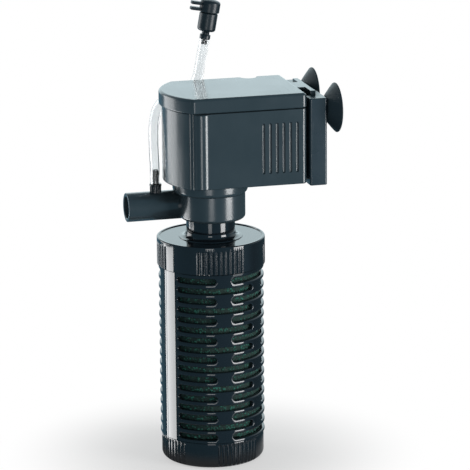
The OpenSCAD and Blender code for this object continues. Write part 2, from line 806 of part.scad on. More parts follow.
// ---- Air line ----

module air_nozzle() {
    z1 = z_collar + collar_h;
    color([0.10, 0.11, 0.12]) translate([collar_x, nozzle_y, 0]) difference() {
        union() {
            difference() {
                union() {
                    cylinder_at([0, 0, nozzle_z], collar_d / 2 - 0.5, z1 - nozzle_z - 1.3);
                    for (i = [0:11]) rotate([0, 0, i * 30]) translate([collar_d / 2 - 0.6, 0, nozzle_z])
                        cylinder(r = 0.45, h = z1 - nozzle_z - 1.3, $fn = 16);
                }
                translate([0, 0, nozzle_z]) rotate([0, 90, 0])
                    cylinder(r = nozzle_r + seat_gap / 2, h = 20, center = true);
            }
            cylinder_at([0, 0, z1 - 1.4], collar_d / 2, 1.4);
            cylinder_at([0, 0, nozzle_z + nozzle_bore / 2 + seat_gap], stem_d / 2, nozzle_r);
            cylinder_at([0, 0, z1 - 1], stem_d / 2, 8);
            translate([0, 0, z1 + 5.2])
                cylinder(r1 = stem_d / 2 + 0.15, r2 = stem_d / 2 - 0.4, h = 3, $fn = 48);
        }
        cylinder_at([0, 0, nozzle_z - 1], air_d / 2, 50);
    }
}

// Direction of the hose at each point of its route
function hose_dir(i) = unit(hose_route[min(i + 1, hose_last)] - hose_route[max(i - 1, 0)]);

// One ring of points round the hose, square to its direction
function hose_ring(i, r) =
    let (
        d = hose_dir(i),
        b = unit(cross(d, [-0.5, 0.86, 0])),
        n = cross(b, d)
    )
    [for (j = [0:hose_sides - 1]) let (a = 360 * j / hose_sides)
        hose_route[i] + r * (n * cos(a) + b * sin(a))];

// Two triangles between neighbouring points a, b of one ring and c, d of the next
function quad(a, b, c, d) = [[a, b, d], [a, d, c]];

module air_hose() {
    n = hose_sides;
    rings = hose_last + 1;
    outer = [for (i = [0:hose_last]) each hose_ring(i, hose_d / 2)];
    inner = [for (i = [0:hose_last]) each hose_ring(i, hose_bore / 2)];
    shift = n * rings;
    faces = [
        for (i = [0:hose_last - 1], j = [0:n - 1])
            let (a = i * n + j, b = i * n + (j + 1) % n)
                each concat(quad(a, b, a + n, b + n),
                    quad(b + shift, a + shift, b + n + shift, a + n + shift)),
        for (j = [0:n - 1])
            let (a = j, b = (j + 1) % n, e = hose_last * n)
                each concat(quad(b, a, b + shift, a + shift),
                    quad(a + e, b + e, a + e + shift, b + e + shift))];
    color([0.85, 0.90, 0.92, 0.6]) polyhedron(concat(outer, inner), faces);
}

module at_valve() {
    translate(valve_pos) rotate([0, valve_tilt, 0]) children();
}

module valve_body() {
    r = valve_d / 2;
    z1 = valve_neck + valve_h;
    color([0.13, 0.16, 0.17]) at_valve() difference() {
        union() {
            cylinder_at([0, 0, -3], stem_d / 2, 5);
            cylinder_at([0, 0, seat_gap], hose_d / 2 + 0.05, 2.6);
            cylinder_at([0, 0, 1], 2.2, valve_neck);
            rotate_extrude() polygon(concat([[0, valve_neck]],
                arc_points([r - valve_edge_r, valve_neck + valve_edge_r], valve_edge_r, -90, 0, 5),
                [[r, valve_neck + valve_h - knob_h + 4.6], [r - 1, z1 - knob_h + 5],
                    [r - 1, z1], [0, z1]]));
        }
        cylinder_at([0, 0, -4], air_d / 2, valve_neck + valve_h);
    }
}

module valve_knob() {
    r = knob_d / 2;
    z0 = valve_neck + valve_h - knob_h + 5.2;
    z1 = z0 + knob_h;
    in_r = valve_d / 2 - 1 + free_gap;
    color([0.10, 0.12, 0.13]) at_valve() {
        difference() {
            rotate_extrude() polygon([[0, z0], [r - 0.3, z0], [r, z0 + 0.4], [r, z1 - 2.2],
                [r - 0.5, z1 - 1.3], [r * 0.75, z1 - 0.5], [r * 0.4, z1 - 0.1], [0, z1]]);
            cylinder_at([0, 0, z0 - 1], in_r, valve_neck + valve_h + free_gap - z0 + 1);
        }
        for (k = [0, 1]) translate([-r - prong_l + 0.5, -prong_w / 2, z0 + 0.9 + k * prong_pitch])
            cube([prong_l + 0.3, prong_w, prong_t]);
    }
}

// ---- Bracket and suction cups ----

module bracket() {
    slot_w = rail_w / 2 + free_gap;
    web_w = rail_web / 2 + free_gap;
    z1 = z_bracket + bracket_h;
    lip_z0 = z_head + stop_h + free_gap;
    r = 1;
    color([0.20, 0.25, 0.29]) difference() {
        translate([bracket_x + bracket_t / 2, 0, z_bracket]) linear_extrude(bracket_h)
            polygon(round_rect(bracket_t, head_w, r));
        translate([rail_x - free_gap, -slot_w, z_bracket - 1])
            cube([rail_t + 2 * free_gap, 2 * slot_w, bracket_h + 2]);
        translate([bracket_x - 1, -web_w, z_bracket - 1])
            cube([bracket_t - bracket_plate - 1, 2 * web_w, bracket_h + 2]);
        translate([bracket_x - 1, -slot_w, z_bracket - 1])
            cube([bracket_t - bracket_plate - 1, 2 * slot_w, lip_z0 - z_bracket + 1]);
        translate([bracket_x - 1, -slot_w, z1 - pocket_h])
            cube([bracket_t - bracket_plate - 1, 2 * slot_w, pocket_h + 1]);
        for (s = [-1, 1]) translate([bracket_out - sucker_stem_h - 0.3, s * sucker_pitch / 2, sucker_z])
            rotate([0, 90, 0]) cylinder(d = sucker_stem_d + 0.2, h = 20);
    }
}

// A suction cup on the bracket's outer face, to the side given by s
module suction_cup(s) {
    rb = sucker_back_d / 2;
    rr = sucker_d / 2;
    h = sucker_h;
    color([0.13, 0.16, 0.17]) translate([bracket_out, s * sucker_pitch / 2, sucker_z])
        rotate([0, 90, 0]) rotate_extrude() polygon([
            [0, -sucker_stem_h], [sucker_stem_d / 2, -sucker_stem_h], [sucker_stem_d / 2, seat_gap],
            [rb, seat_gap], [rb + (rr - rb) * 0.34, h * 0.28], [rb + (rr - rb) * 0.7, h * 0.62],
            [rr, h - sucker_rim / 2], [rr, h], [rr - 1.4, h],
            [rb + (rr - rb) * 0.5, h * 0.72], [rb + 0.5, h * 0.5], [rb * 0.4, h * 0.34], [0, h * 0.3]]);
}

module suction_cup_front() {
    suction_cup(-1);
}

module suction_cup_rear() {
    suction_cup(1);
}

bottom_cap();
filter_cup();
foam_sponge();
core_tube();
canister_head();
neck_seal();
pump_volute();
volute_seal();
inlet_bush();
impeller();
rotor_magnet();
rotor_shaft();
well_bush();
motor_housing();
head_lid();
stator_core();
coil_bobbin();
coil_winding();
cord_gland();
air_nozzle();
air_hose();
valve_body();
valve_knob();
bracket();
suction_cup_front();
suction_cup_rear();
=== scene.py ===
"""Looks of an internal canister filter: modelled pieces, finishes, air hose, studio and camera."""

import math

import bmesh
import bpy
from bpy.props import FloatProperty, FloatVectorProperty, PointerProperty
from mathutils import Matrix, Vector


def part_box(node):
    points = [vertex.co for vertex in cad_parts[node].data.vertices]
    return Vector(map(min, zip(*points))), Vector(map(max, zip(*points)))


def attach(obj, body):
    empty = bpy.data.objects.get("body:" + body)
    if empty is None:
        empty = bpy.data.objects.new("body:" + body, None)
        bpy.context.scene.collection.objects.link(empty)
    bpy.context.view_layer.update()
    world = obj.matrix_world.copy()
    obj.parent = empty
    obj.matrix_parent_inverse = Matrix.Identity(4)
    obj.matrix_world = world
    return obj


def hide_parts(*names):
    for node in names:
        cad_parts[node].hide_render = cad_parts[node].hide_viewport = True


bl_info = {
    "name": "Canister Filter Looks",
    "version": (1, 0, 0),
    "blender": (4, 5, 0),
    "location": "3D View > Sidebar > Filter",
    "description": "Models and finishes the pieces of an internal canister filter on its frame",
    "category": "Object",
}

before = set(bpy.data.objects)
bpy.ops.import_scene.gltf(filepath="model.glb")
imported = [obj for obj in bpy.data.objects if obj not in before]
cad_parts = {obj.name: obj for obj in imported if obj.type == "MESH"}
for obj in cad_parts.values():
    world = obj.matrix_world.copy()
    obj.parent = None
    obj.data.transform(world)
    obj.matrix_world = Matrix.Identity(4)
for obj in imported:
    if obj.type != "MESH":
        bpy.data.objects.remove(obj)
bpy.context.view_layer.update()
MM = 0.001
TURN = 2 * math.pi


def low(node):
    """Lowest corner of a node, in millimetres."""
    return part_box(node)[0] / MM


def high(node):
    """Highest corner of a node, in millimetres."""
    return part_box(node)[1] / MM


# Heights of the joins and main radii, in millimetres, from the frame
Z_CUP = high("bottom_cap").z
Z_RING = low("canister_head").z
Z_VOLUTE = high("canister_head").z - 3.6
Z_FLANGE = low("motor_housing").z
Z_BRACKET = low("bracket").z
Z_HEAD = Z_BRACKET + 1.5
Z_TOP = high("head_lid").z
CAP_R = round(high("bottom_cap").x, 1)
CUP_R = round(high("filter_cup").x, 1)
RING_R = round(high("canister_head").x, 1)


# ---- Settings ----

def length_setting(name, description, size, least, most):
    """A length setting of the panel, with its values in millimetres."""
    return FloatProperty(
        name=name, description=description, default=size * MM, min=least * MM, max=most * MM,
        unit="LENGTH", precision=5)


def angle_setting(name, description, degrees):
    """An angle setting of the panel."""
    return FloatProperty(
        name=name, description=description, default=math.radians(degrees), subtype="ANGLE")


def colour_setting(name, description, value):
    """A colour setting of the panel."""
    return FloatVectorProperty(
        name=name, description=description, default=value, size=3, min=0, max=1, subtype="COLOR")


class FilterSizes(bpy.types.PropertyGroup):
    """Sizes that only the modelled surfaces use"""
    slot_h: length_setting("Slot height", "Height of one slot of the cup", 3.2, 2, 4)
    slot_pitch: length_setting("Slot pitch", "Distance from one slot row to the next", 5.75, 5, 7)
    slot_rim: length_setting("Slot rim", "Radius of the rounded rim of each slot", 0.85, 0.1, 1.1)
    grip_t: length_setting("Grip depth", "Depth of one grip groove", 0.72, 0.2, 1)
    lid_edge: length_setting("Lid edge", "Radius of the lid's upper edge", 1.8, 0.5, 3)
    hose_d: length_setting("Hose diameter", "Outer diameter of the air hose", 6, 4, 8)
    hose_wall: length_setting("Hose wall", "Wall of the air hose", 1, 0.5, 1.5)
    foam_cell: length_setting("Foam cell", "Size of one cell of the foam", 1.6, 0.5, 4)


class FilterColours(bpy.types.PropertyGroup):
    """Colours of the finishes"""
    gloss: colour_setting("Gloss black", "Canister, ring and cap", (0.006, 0.009, 0.012))
    slate: colour_setting("Slate", "Motor housing, lid and pump chamber", (0.022, 0.034, 0.041))
    bracket: colour_setting("Bracket", "Wall bracket", (0.013, 0.025, 0.034))
    valve: colour_setting("Valve", "Air valve", (0.007, 0.013, 0.017))
    fitting: colour_setting("Fitting", "Air fitting", (0.012, 0.014, 0.016))
    rubber: colour_setting("Rubber", "Suction cups and cord gland", (0.011, 0.019, 0.024))
    foam: colour_setting("Foam", "Filter foam", (0.004, 0.060, 0.044))
    hose: colour_setting("Hose", "Air hose", (0.91, 0.935, 0.945))
    copper: colour_setting("Copper", "Coil wire", (0.60, 0.24, 0.08))


class FilterStudio(bpy.types.PropertyGroup):
    """Camera and light"""
    lens: FloatProperty(
        name="Lens", description="Focal length for a 36 mm sensor, in millimetres",
        default=229.8, min=20, max=400)
    azimuth: angle_setting("Azimuth", "Camera's angle round the object", -14.7)
    elevation: angle_setting("Elevation", "Camera's angle above the horizon", 14.37)
    roll: angle_setting("Roll", "Camera's roll", -0.5)
    distance: length_setting("Distance", "From the camera to the object", 1709.1, 500, 5000)
    floor_r: length_setting("Floor radius", "Radius of the round floor", 180, 100, 2000)
    fill: FloatProperty(
        name="Fill", description="Strength of the light from all sides",
        default=0.32, min=0, max=2)


def sizes():
    """The size settings of this scene."""
    return bpy.context.scene.filter_sizes


def colours():
    """The colour settings of this scene."""
    return bpy.context.scene.filter_colours


def studio():
    """The camera and light settings of this scene."""
    return bpy.context.scene.filter_studio


# ---- Modelling helpers: all lengths in millimetres ----

def deselect():
    """Leaves edit mode and deselects every object."""
    if bpy.context.mode != "OBJECT":
        leave_edit()
    bpy.ops.object.select_all(action="DESELECT")


def activate(obj):
    """Makes obj the only selected and the active object."""
    deselect()
    obj.select_set(True)
    bpy.context.view_layer.objects.active = obj


def select_all():
    """In edit mode, selects all of the mesh."""
    bpy.ops.mesh.select_all(action="SELECT")


def edit(obj):
    """Goes into edit mode on obj alone, with all of it selected."""
    activate(obj)
    bpy.ops.object.mode_set(mode="EDIT")
    bpy.ops.mesh.select_mode(type="VERT")
    select_all()


def leave_edit():
    """Leaves edit mode."""
    bpy.ops.object.mode_set(mode="OBJECT")


def pick(obj, kind, test):
    """In edit mode, selects only the verts, edges or faces that pass the test."""
    bpy.ops.mesh.select_mode(type={"verts": "VERT", "edges": "EDGE", "faces": "FACE"}[kind])
    bpy.ops.mesh.select_all(action="DESELECT")
    mesh = bmesh.from_edit_mesh(obj.data)
    found = [part for part in getattr(mesh, kind) if test(part)]
    for part in found:
        part.select_set(True)
    bmesh.update_edit_mesh(obj.data)
    return len(found)


def new_object(name, data):
    """A new object of this scene with its data."""
    obj = bpy.data.objects.new(name, data)
    bpy.context.scene.collection.objects.link(obj)
    return obj


def extrude(x, y, z):
    """In edit mode, extrudes what is selected by a distance."""
    bpy.ops.mesh.extrude_region_move(TRANSFORM_OT_translate={"value": (x * MM, y * MM, z * MM)})


def draw(name, points):
    """A new object in edit mode: one line of vertices, extruded from point to point."""
    deselect()
    points = [Vector(p) * MM for p in points]
    bpy.ops.mesh.primitive_plane_add(size=MM, location=(0, 0, 0), enter_editmode=True)
    obj = bpy.context.object
    obj.name = name
    obj.data.name = name
    bpy.ops.mesh.select_mode(type="VERT")
    select_all()
    bpy.ops.mesh.merge(type="CENTER")
    bpy.ops.transform.translate(value=points[0])
    for here, there in zip(points, points[1:]):
        bpy.ops.mesh.extrude_region_move(TRANSFORM_OT_translate={"value": there - here})
    return obj


def tidy_mesh(obj, reach=0.0002):
    """Merges doubles and turns all faces outwards, then leaves edit mode."""
    edit(obj)
    bpy.ops.mesh.remove_doubles(threshold=reach * MM)
    bpy.ops.mesh.normals_make_consistent(inside=False)
    leave_edit()
    return obj


def spun(name, profile, steps=96, angle=360.0, start=0.0, closed=False):
    """Turns a profile of (radius, height) points round Z; a closed one ends where it starts."""
    a = math.radians(start)
    line = [(r * math.cos(a), r * math.sin(a), z) for r, z in profile]
    obj = draw(name, line + line[:1] if closed else line)
    if closed:
        select_all()
        bpy.ops.mesh.remove_doubles(threshold=0.0002 * MM)
    axis = (0, 0, 1)
    if angle < 360:
        select_all()
        bpy.ops.mesh.edge_face_add()
        axis = (0, 0, -1)
    select_all()
    bpy.ops.mesh.spin(steps=steps, angle=math.radians(angle), center=(0, 0, 0), axis=axis)
    return tidy_mesh(obj)


def rod(name, radius, z0, z1, steps=96, **place):
    """A round rod along Z from z0 to z1, put in its place."""
    obj = spun(name, [(0, z0), (radius, z0), (radius, z1), (0, z1)], steps=steps)
    return placed(obj, **place) if place else obj


def hoop(name, inner, outer, z0, z1, **turning):
    """A ring, or a sector of one, with a rectangular section."""
    return spun(name, [(inner, z0), (outer, z0), (outer, z1), (inner, z1)], closed=True, **turning)


def slab(name, outline, z0, z1):
    """A flat outline of (x, y) points, extruded from z0 to z1."""
    obj = draw(name, [(x, y, z0) for x, y in outline])
    select_all()
    bpy.ops.mesh.edge_face_add()
    extrude(0, 0, z1 - z0)
    return tidy_mesh(obj)


def block(name, low_corner, high_corner):
    """A box between two corners."""
    (x0, y0, z0), (x1, y1, z1) = low_corner, high_corner
    return slab(name, [(x0, y0), (x1, y0), (x1, y1), (x0, y1)], z0, z1)


def modify(obj, kind, **settings):
    """Adds a modifier and applies it."""
    activate(obj)
    modifier = obj.modifiers.new(kind.title(), kind)
    for key, value in settings.items():
        setattr(modifier, key, value)
    bpy.ops.object.modifier_apply(modifier=modifier.name)
    return obj


def cut(obj, *tools, operation="DIFFERENCE"):
    """Takes the tools away from obj, or adds them to it, and deletes them."""
    for tool in tools:
        modify(obj, "BOOLEAN", operation=operation, object=tool, solver="EXACT")
        bpy.data.objects.remove(tool)
    return obj


def joined(obj, *others):
    """Joins other objects into obj."""
    activate(obj)
    for other in others:
        other.select_set(True)
    bpy.ops.object.join()
    return obj


def placed(obj, turn=(0, 0, 0), move=(0, 0, 0)):
    """Turns obj about the origin, moves it and puts both into its mesh; turns in degrees."""
    activate(obj)
    obj.rotation_euler = [math.radians(a) for a in turn]
    obj.location = Vector(move) * MM
    bpy.ops.object.transform_apply(location=True, rotation=True, scale=True)
    return obj


def soften(obj, width, segments=3, over=40.0):
    """Rounds every edge of obj that is sharper than an angle."""
    return modify(
        obj, "BEVEL", width=width * MM, segments=segments, limit_method="ANGLE",
        angle_limit=math.radians(over), use_clamp_overlap=True, miter_outer="MITER_ARC",
        loop_slide=False)


def rounded(obj, width, segments, test):
    """Rounds the edges that pass the test."""
    edit(obj)
    pick(obj, "edges", test)
    bpy.ops.mesh.bevel(offset=width * MM, segments=segments, affect="EDGES", clamp_overlap=True)
    leave_edit()
    return obj


def at_height(*levels):
    """A test for edges that lie at one of the heights."""
    return lambda edge: any(all(abs(v.co.z / MM - z) < 0.01 for v in edge.verts) for z in levels)


def middle(part):
    """Middle of an edge, or the centre of a face, in millimetres."""
    if isinstance(part, bmesh.types.BMFace):
        return part.calc_center_median() / MM
    return (part.verts[0].co + part.verts[1].co) / 2 / MM


def finish_piece(obj, body, material, slot, *nodes, smooth=35.0):
    """Shades a piece, gives it its material, and puts it on its body in place of its nodes."""
    activate(obj)
    bpy.ops.object.shade_smooth_by_angle(angle=math.radians(smooth))
    if smooth < 180:
        modify(obj, "WEIGHTED_NORMAL", keep_sharp=True)
    obj.data.materials.clear()
    obj.data.materials.append(material)
    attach(obj, body)
    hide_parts(*nodes)
    return obj


def arc(centre, radius, a0, a1, steps):
    """Points of an arc, from angle a0 to a1 in degrees."""
    turns = [math.radians(a0 + (a1 - a0) * i / steps) for i in range(steps + 1)]
    return [(centre[0] + radius * math.cos(a), centre[1] + radius * math.sin(a)) for a in turns]


# ---- Finishes ----

class Board:
    """A node tree with short calls to add and link nodes."""

    def __init__(self, tree):
        self.tree = tree
        self.column = 0

    def add(self, kind, *values, **settings):
        """A new node: settings name its inputs or properties, values fill its inputs in order."""
        node = self.tree.nodes.new(kind)
        self.column += 1
        node.location = (180 * self.column, 0)
        for key, value in settings.items():
            socket = node.inputs.get(key.replace("_", " ").title())
            if socket is None:
                setattr(node, key, value)
            else:
                self.put(socket, value)
        for socket, value in zip(node.inputs, values):
            self.put(socket, value)
        return node

    def put(self, socket, value):
        """Links an output to the socket, or sets the socket's value."""
        if isinstance(value, bpy.types.NodeSocket):
            self.tree.links.new(value, socket)
        else:
            socket.default_value = value

    def mix(self, factor, a, b):
        """A colour mix."""
        node = self.add("ShaderNodeMix", factor, data_type="RGBA")
        self.put(node.inputs[6], a)
        self.put(node.inputs[7], b)
        return node.outputs[2]

    def maths(self, operation, a, b=0.0, c=0.0):
        """A number worked out from others."""
        return self.add("ShaderNodeMath", a, b, c, operation=operation).outputs[0]

    def product(self, first, *others):
        """Numbers multiplied with each other."""
        for other in others:
            first = self.maths("MULTIPLY", first, other)
        return first

    def ramp(self, value, from_min, from_max, to_min=0.0, to_max=1.0):
        """A clamped, smooth change from one range to another."""
        return self.add("ShaderNodeMapRange", value, from_min, from_max, to_min, to_max,
                        interpolation_type="SMOOTHSTEP").outputs[0]

    def place(self):
        """A point's place on the object."""
        return self.add("ShaderNodeTexCoord").outputs["Object"]

    def part(self, vector, axis):
        """One coordinate of a vector."""
        return self.add("ShaderNodeSeparateXYZ", vector).outputs[axis]

    def noise(self, place, scale, detail=3.0, roughness=0.5):
        """Noise at a scale, in features per metre."""
        return self.add("ShaderNodeTexNoise", vector=place, scale=scale, detail=detail,
                        roughness=roughness).outputs["Fac"]

    def raise_surface(self, shader, height, strength, distance, invert=False):
        """Gives a shader the bumps of a height map; the distance in millimetres."""
        bump = self.add("ShaderNodeBump", height=height, strength=strength, distance=distance * MM,
                        invert=invert)
        self.put(shader.inputs["Normal"], bump.outputs[0])


def new_group(name, inputs, outputs):
    """A shader node group with named number and colour sockets, and its board and input node."""
    tree = bpy.data.node_groups.new(name, "ShaderNodeTree")
    kinds = {float: "NodeSocketFloat", tuple: "NodeSocketColor"}
    for way, sockets in (("INPUT", inputs), ("OUTPUT", outputs)):
        for label, default in sockets.items():
            kind = kinds[type(default)]
            socket = tree.interface.new_socket(name=label, in_out=way, socket_type=kind)
            socket.default_value = default
    board = Board(tree)
    return tree, board, board.add("NodeGroupInput")


def mould_texture(name):
    """Fine spark texture of a moulded face, with slow changes of tone."""
    grey = (0.5, 0.5, 0.5, 1.0)
    tree, board, given = new_group(
        name, {"Colour": grey, "Grain": 4000.0, "Tone": 0.15, "Roughness": 0.4},
        {"Colour": grey, "Roughness": 0.4, "Height": 0.5})
    place = board.place()
    fine = board.noise(place, given.outputs["Grain"], 2.0, 0.6)
    slow = board.noise(place, 45.0)
    streak = board.add("ShaderNodeMapping", vector_type="TEXTURE", vector=place, scale=(1, 1, 6))
    flow = board.noise(streak.outputs[0], 160.0, 2.0)
    tone = board.maths("ADD", slow, board.maths("MULTIPLY", flow, 0.5))
    tone = board.maths("MULTIPLY_ADD", tone, 2.0, -1.5)
    gain = board.maths("MULTIPLY_ADD", tone, given.outputs["Tone"], 1.0)
    colour = board.add(
        "ShaderNodeVectorMath", given.outputs["Colour"], operation="SCALE", scale=gain).outputs[0]
    rough = board.maths(
        "MULTIPLY_ADD", board.maths("SUBTRACT", slow, 0.5), 0.16, given.outputs["Roughness"])
    board.add("NodeGroupOutput", colour=colour, roughness=rough, height=fine)
    return tree


def handling_marks(name):
    """Fine hairline scratches and settled dust, as masks."""
    tree, board, given = new_group(
        name, {"Scratches": 0.3, "Dust": 0.2}, {"Scratch Mask": 0.0, "Dust Mask": 0.0})
    place = board.place()
    lines = 0.0
    for turn in ((0.3, 0.1, 0.9), (1.1, 0.4, 2.1)):
        mapping = board.add("ShaderNodeMapping", vector=place, rotation=turn, scale=(900, 40, 40))
        hair = board.noise(mapping.outputs[0], 1.0, 2.0)
        lines = board.maths("ADD", lines, board.ramp(hair, 0.70, 0.74))
    normal = board.add("ShaderNodeNewGeometry").outputs["Normal"]
    up = board.ramp(board.part(normal, "Z"), 0.2, 0.95)
    specks = board.ramp(board.noise(place, 1800.0, 2.0), 0.58, 0.75)
    board.add("NodeGroupOutput", scratch_mask=board.product(lines, given.outputs["Scratches"]),
              dust_mask=board.product(up, specks, given.outputs["Dust"]))
    return tree


def shared_group(name, maker):
    """The node group of a name, made once."""
    return bpy.data.node_groups.get(name) or maker(name)


def new_board(owner):
    """The empty board of a material or a world."""
    owner.use_nodes = True
    owner.node_tree.nodes.clear()
    return Board(owner.node_tree)


def new_material(name, **values):
    """A material with its board and its Principled shader; values go on the shader's sockets."""
    material = bpy.data.materials.new(name + "_finish")
    board = new_board(material)
    shader = board.add("ShaderNodeBsdfPrincipled")
    board.add("ShaderNodeOutputMaterial", surface=shader.outputs["BSDF"])
    for key, value in values.items():
        shader.inputs[key.replace("_", " ")].default_value = value
    return material, board, shader


def shade_of(rgb, gain=1.0, lift=0.0):
    """A colour made lighter or darker, with full opacity."""
    return (*(min(1.0, c * gain + lift) for c in rgb), 1.0)


# Moulded finishes: colour, roughness, grain per metre, bump, tone, scratches, dust, IOR
FINISHES = {
    "gloss_black": ("gloss", 0.07, 900, 0.012, 0.10, 0.12, 0.04, 1.50),
    "satin_slate": ("slate", 0.20, 2600, 0.02, 0.14, 0.20, 0.04, 1.55),
    "satin_bracket": ("bracket", 0.27, 2600, 0.03, 0.25, 0.35, 0.08, 1.50),
    "satin_valve": ("valve", 0.34, 2600, 0.04, 0.25, 0.15, 0.03, 1.40),
    "satin_fitting": ("fitting", 0.20, 2600, 0.03, 0.15, 0.20, 0.15, 1.45),
    "matt_rubber": ("rubber", 0.48, 2600, 0.15, 0.20, 0.10, 0.25, 1.45),
    "core_grey": ((0.030, 0.033, 0.036), 0.34, 4200, 0.10, 0.15, 0.20, 0.15, 1.45),
    "impeller_grey": ((0.50, 0.52, 0.53), 0.38, 4800, 0.08, 0.06, 0.20, 0.15, 1.45),
    "bobbin_cream": ((0.78, 0.72, 0.56), 0.42, 3800, 0.10, 0.08, 0.20, 0.15, 1.45),
    "bush_graphite": ((0.030, 0.030, 0.032), 0.30, 9000, 0.15, 0.30, 0.20, 0.15, 1.45),
    "ceramic_white": ((0.86, 0.84, 0.78), 0.16, 6000, 0.03, 0.05, 0.05, 0.02, 1.76),
    "sintered_ferrite": ((0.050, 0.050, 0.055), 0.46, 7000, 0.35, 0.25, 0.50, 0.15, 2.20),
    "seal_rubber": ((0.012, 0.012, 0.013), 0.42, 3000, 0.10, 0.15, 0.20, 0.15, 1.45)}


def moulded(name):
    """A finish of the table, made once."""
    found = bpy.data.materials.get(name + "_finish")
    if found:
        return found
    rgb, roughness, grain, bump, tone, scratches, dust, ior = FINISHES[name]
    if isinstance(rgb, str):
        rgb = getattr(colours(), rgb)
    material, board, shader = new_material(name, IOR=ior)
    face = board.add(
        "ShaderNodeGroup", node_tree=shared_group("Mould Texture", mould_texture),
        colour=shade_of(rgb), grain=grain, tone=tone, roughness=roughness)
    marks = board.add(
        "ShaderNodeGroup", node_tree=shared_group("Handling Marks", handling_marks),
        scratches=scratches, dust=dust)
    worn = board.mix(marks.outputs["Dust Mask"], face.outputs["Colour"], shade_of(rgb, 3, 0.08))
    board.put(shader.inputs["Base Color"], worn)
    rough = board.maths(
        "MULTIPLY_ADD", marks.outputs["Scratch Mask"], 0.25, face.outputs["Roughness"])
    board.put(shader.inputs["Roughness"], rough)
    board.raise_surface(shader, face.outputs["Height"], bump, 0.1)
    return material


def foam_green():
    """Open-cell foam: painted shade in the pits between the cell walls, and patches of painted
    light on the walls.
    """
    material, board, shader = new_material("foam_green", Roughness=0.85)
    place = board.place()
    cells = board.add("ShaderNodeTexVoronoi", feature="SMOOTH_F1", vector=place,
                      scale=1 / sizes().foam_cell, smoothness=0.4)
    pits = board.ramp(cells.outputs["Distance"], 0.15, 0.55)
    # Lighter patches on the cell walls, 1.8 times the foam colour: painted light.
    painted_light_patches = board.ramp(board.noise(place, 90.0), 0.42, 0.66)
    foam = colours().foam
    tone = board.mix(painted_light_patches, shade_of(foam), shade_of(foam, 1.8, 0.004))
    # The pits get a quarter of the foam's colour: painted shade in the cell hollows.
    board.put(shader.inputs["Base Color"], board.mix(pits, tone, shade_of(foam, 0.25)))
    board.raise_surface(shader, pits, 0.8, 0.5, invert=True)
    return material


def clear_silicone():
    """Milky clear silicone of the air hose."""
    material, board, shader = new_material(
        "clear_silicone", IOR=1.25, Transmission_Weight=0.96, Roughness=0.06)
    cloud = board.noise(board.place(), 120.0)
    hose = colours().hose
    board.put(shader.inputs["Base Color"], board.mix(cloud, shade_of(hose, 0.95), shade_of(hose)))
    board.put(shader.inputs["Roughness"], board.maths("MULTIPLY_ADD", cloud, 0.04, 0.04))
    return material


def laminated_steel():
    """Edges of stacked steel sheets."""
    material, board, shader = new_material("laminated_steel", Metallic=0.9)
    sheet = board.maths("FRACT", board.maths("MULTIPLY", board.part(board.place(), "Z"), 2000.0))
    gap = board.ramp(board.maths("ABSOLUTE", board.maths("SUBTRACT", sheet, 0.5)), 0.32, 0.48)
    tone = board.mix(gap, (0.42, 0.43, 0.45, 1), (0.10, 0.09, 0.09, 1))
    board.put(shader.inputs["Base Color"], tone)
    board.put(shader.inputs["Roughness"], board.maths("MULTIPLY_ADD", gap, 0.3, 0.35))
    board.raise_surface(shader, gap, 0.6, 0.1, invert=True)
    return material


def copper_winding():
    """Enamelled copper wire, wound turn by turn along Y, with painted shade in the creases between
    turns.
    """
    material, board, shader = new_material("copper_winding", Metallic=0.85)
    turn = board.maths("FRACT", board.maths("MULTIPLY", board.part(board.place(), "Y"), 2800.0))
    bow = board.maths("SINE", board.maths("MULTIPLY", turn, math.pi))
    copper = colours().copper
    # Full copper on each turn's crown, darker towards the creases between turns: painted shade.
    tone = board.mix(board.ramp(bow, 0.1, 0.7), shade_of(copper, 0.35), shade_of(copper))
    board.put(shader.inputs["Base Color"], tone)
    board.put(shader.inputs["Roughness"], board.maths("MULTIPLY_ADD", bow, -0.15, 0.42))
    board.raise_surface(shader, bow, 0.8, 0.15)
    return material


# ---- Canister ----

# Angular steps round the ring and the cap: ten of them span one grip groove
GRIP_STEPS = 692
GRIP_PANELS = 4
GRIP_GROOVES = 10
GROOVE_STEPS = 10
GRIP_R = 0.9

# Bayonets: angle of a lug, angle it turns by, its height and thickness, and how far the lugs of
# the cap lie under its mouth and those of the ring above its own
LUG_A, TWIST_A, LUG_H, LUG_T = 16.0, 25.0, 1.8, 1.0
LUG_DEPTH, LUG_RISE = 5.5, 3.7


def cut_grips(obj, radius, z0, z1, direction):
    """Presses panels of upright grooves into an outer wall that was turned from angle 0."""
    depth = sizes().grip_t / MM
    sink = GRIP_R - depth
    step_a = 360.0 / GRIP_STEPS
    first = round(direction / step_a)
    edit(obj)
    for offset in range(-3, 4):
        across = math.radians(offset * step_a) * radius
        if abs(across) >= GRIP_R:
            continue
        fall = math.sqrt(GRIP_R ** 2 - across ** 2) - sink
        if fall <= 0:
            continue
        starts = [first + round(panel * GRIP_STEPS / GRIP_PANELS) for panel in range(GRIP_PANELS)]
        columns = {(start + groove * GROOVE_STEPS + offset) % GRIP_STEPS
                   for start in starts for groove in range(GRIP_GROOVES)}

        def in_groove(vert):
            x, y, z = vert.co / MM
            column = round(math.degrees(math.atan2(y, x)) / step_a) % GRIP_STEPS
            return z0 < z < z1 and math.hypot(x, y) > radius - 1.5 and column in columns

        pick(obj, "verts", in_groove)
        share = 1 - fall / radius
        bpy.ops.transform.resize(value=(share, share, 1), center_override=(0, 0, 0))
    leave_edit()
    return obj


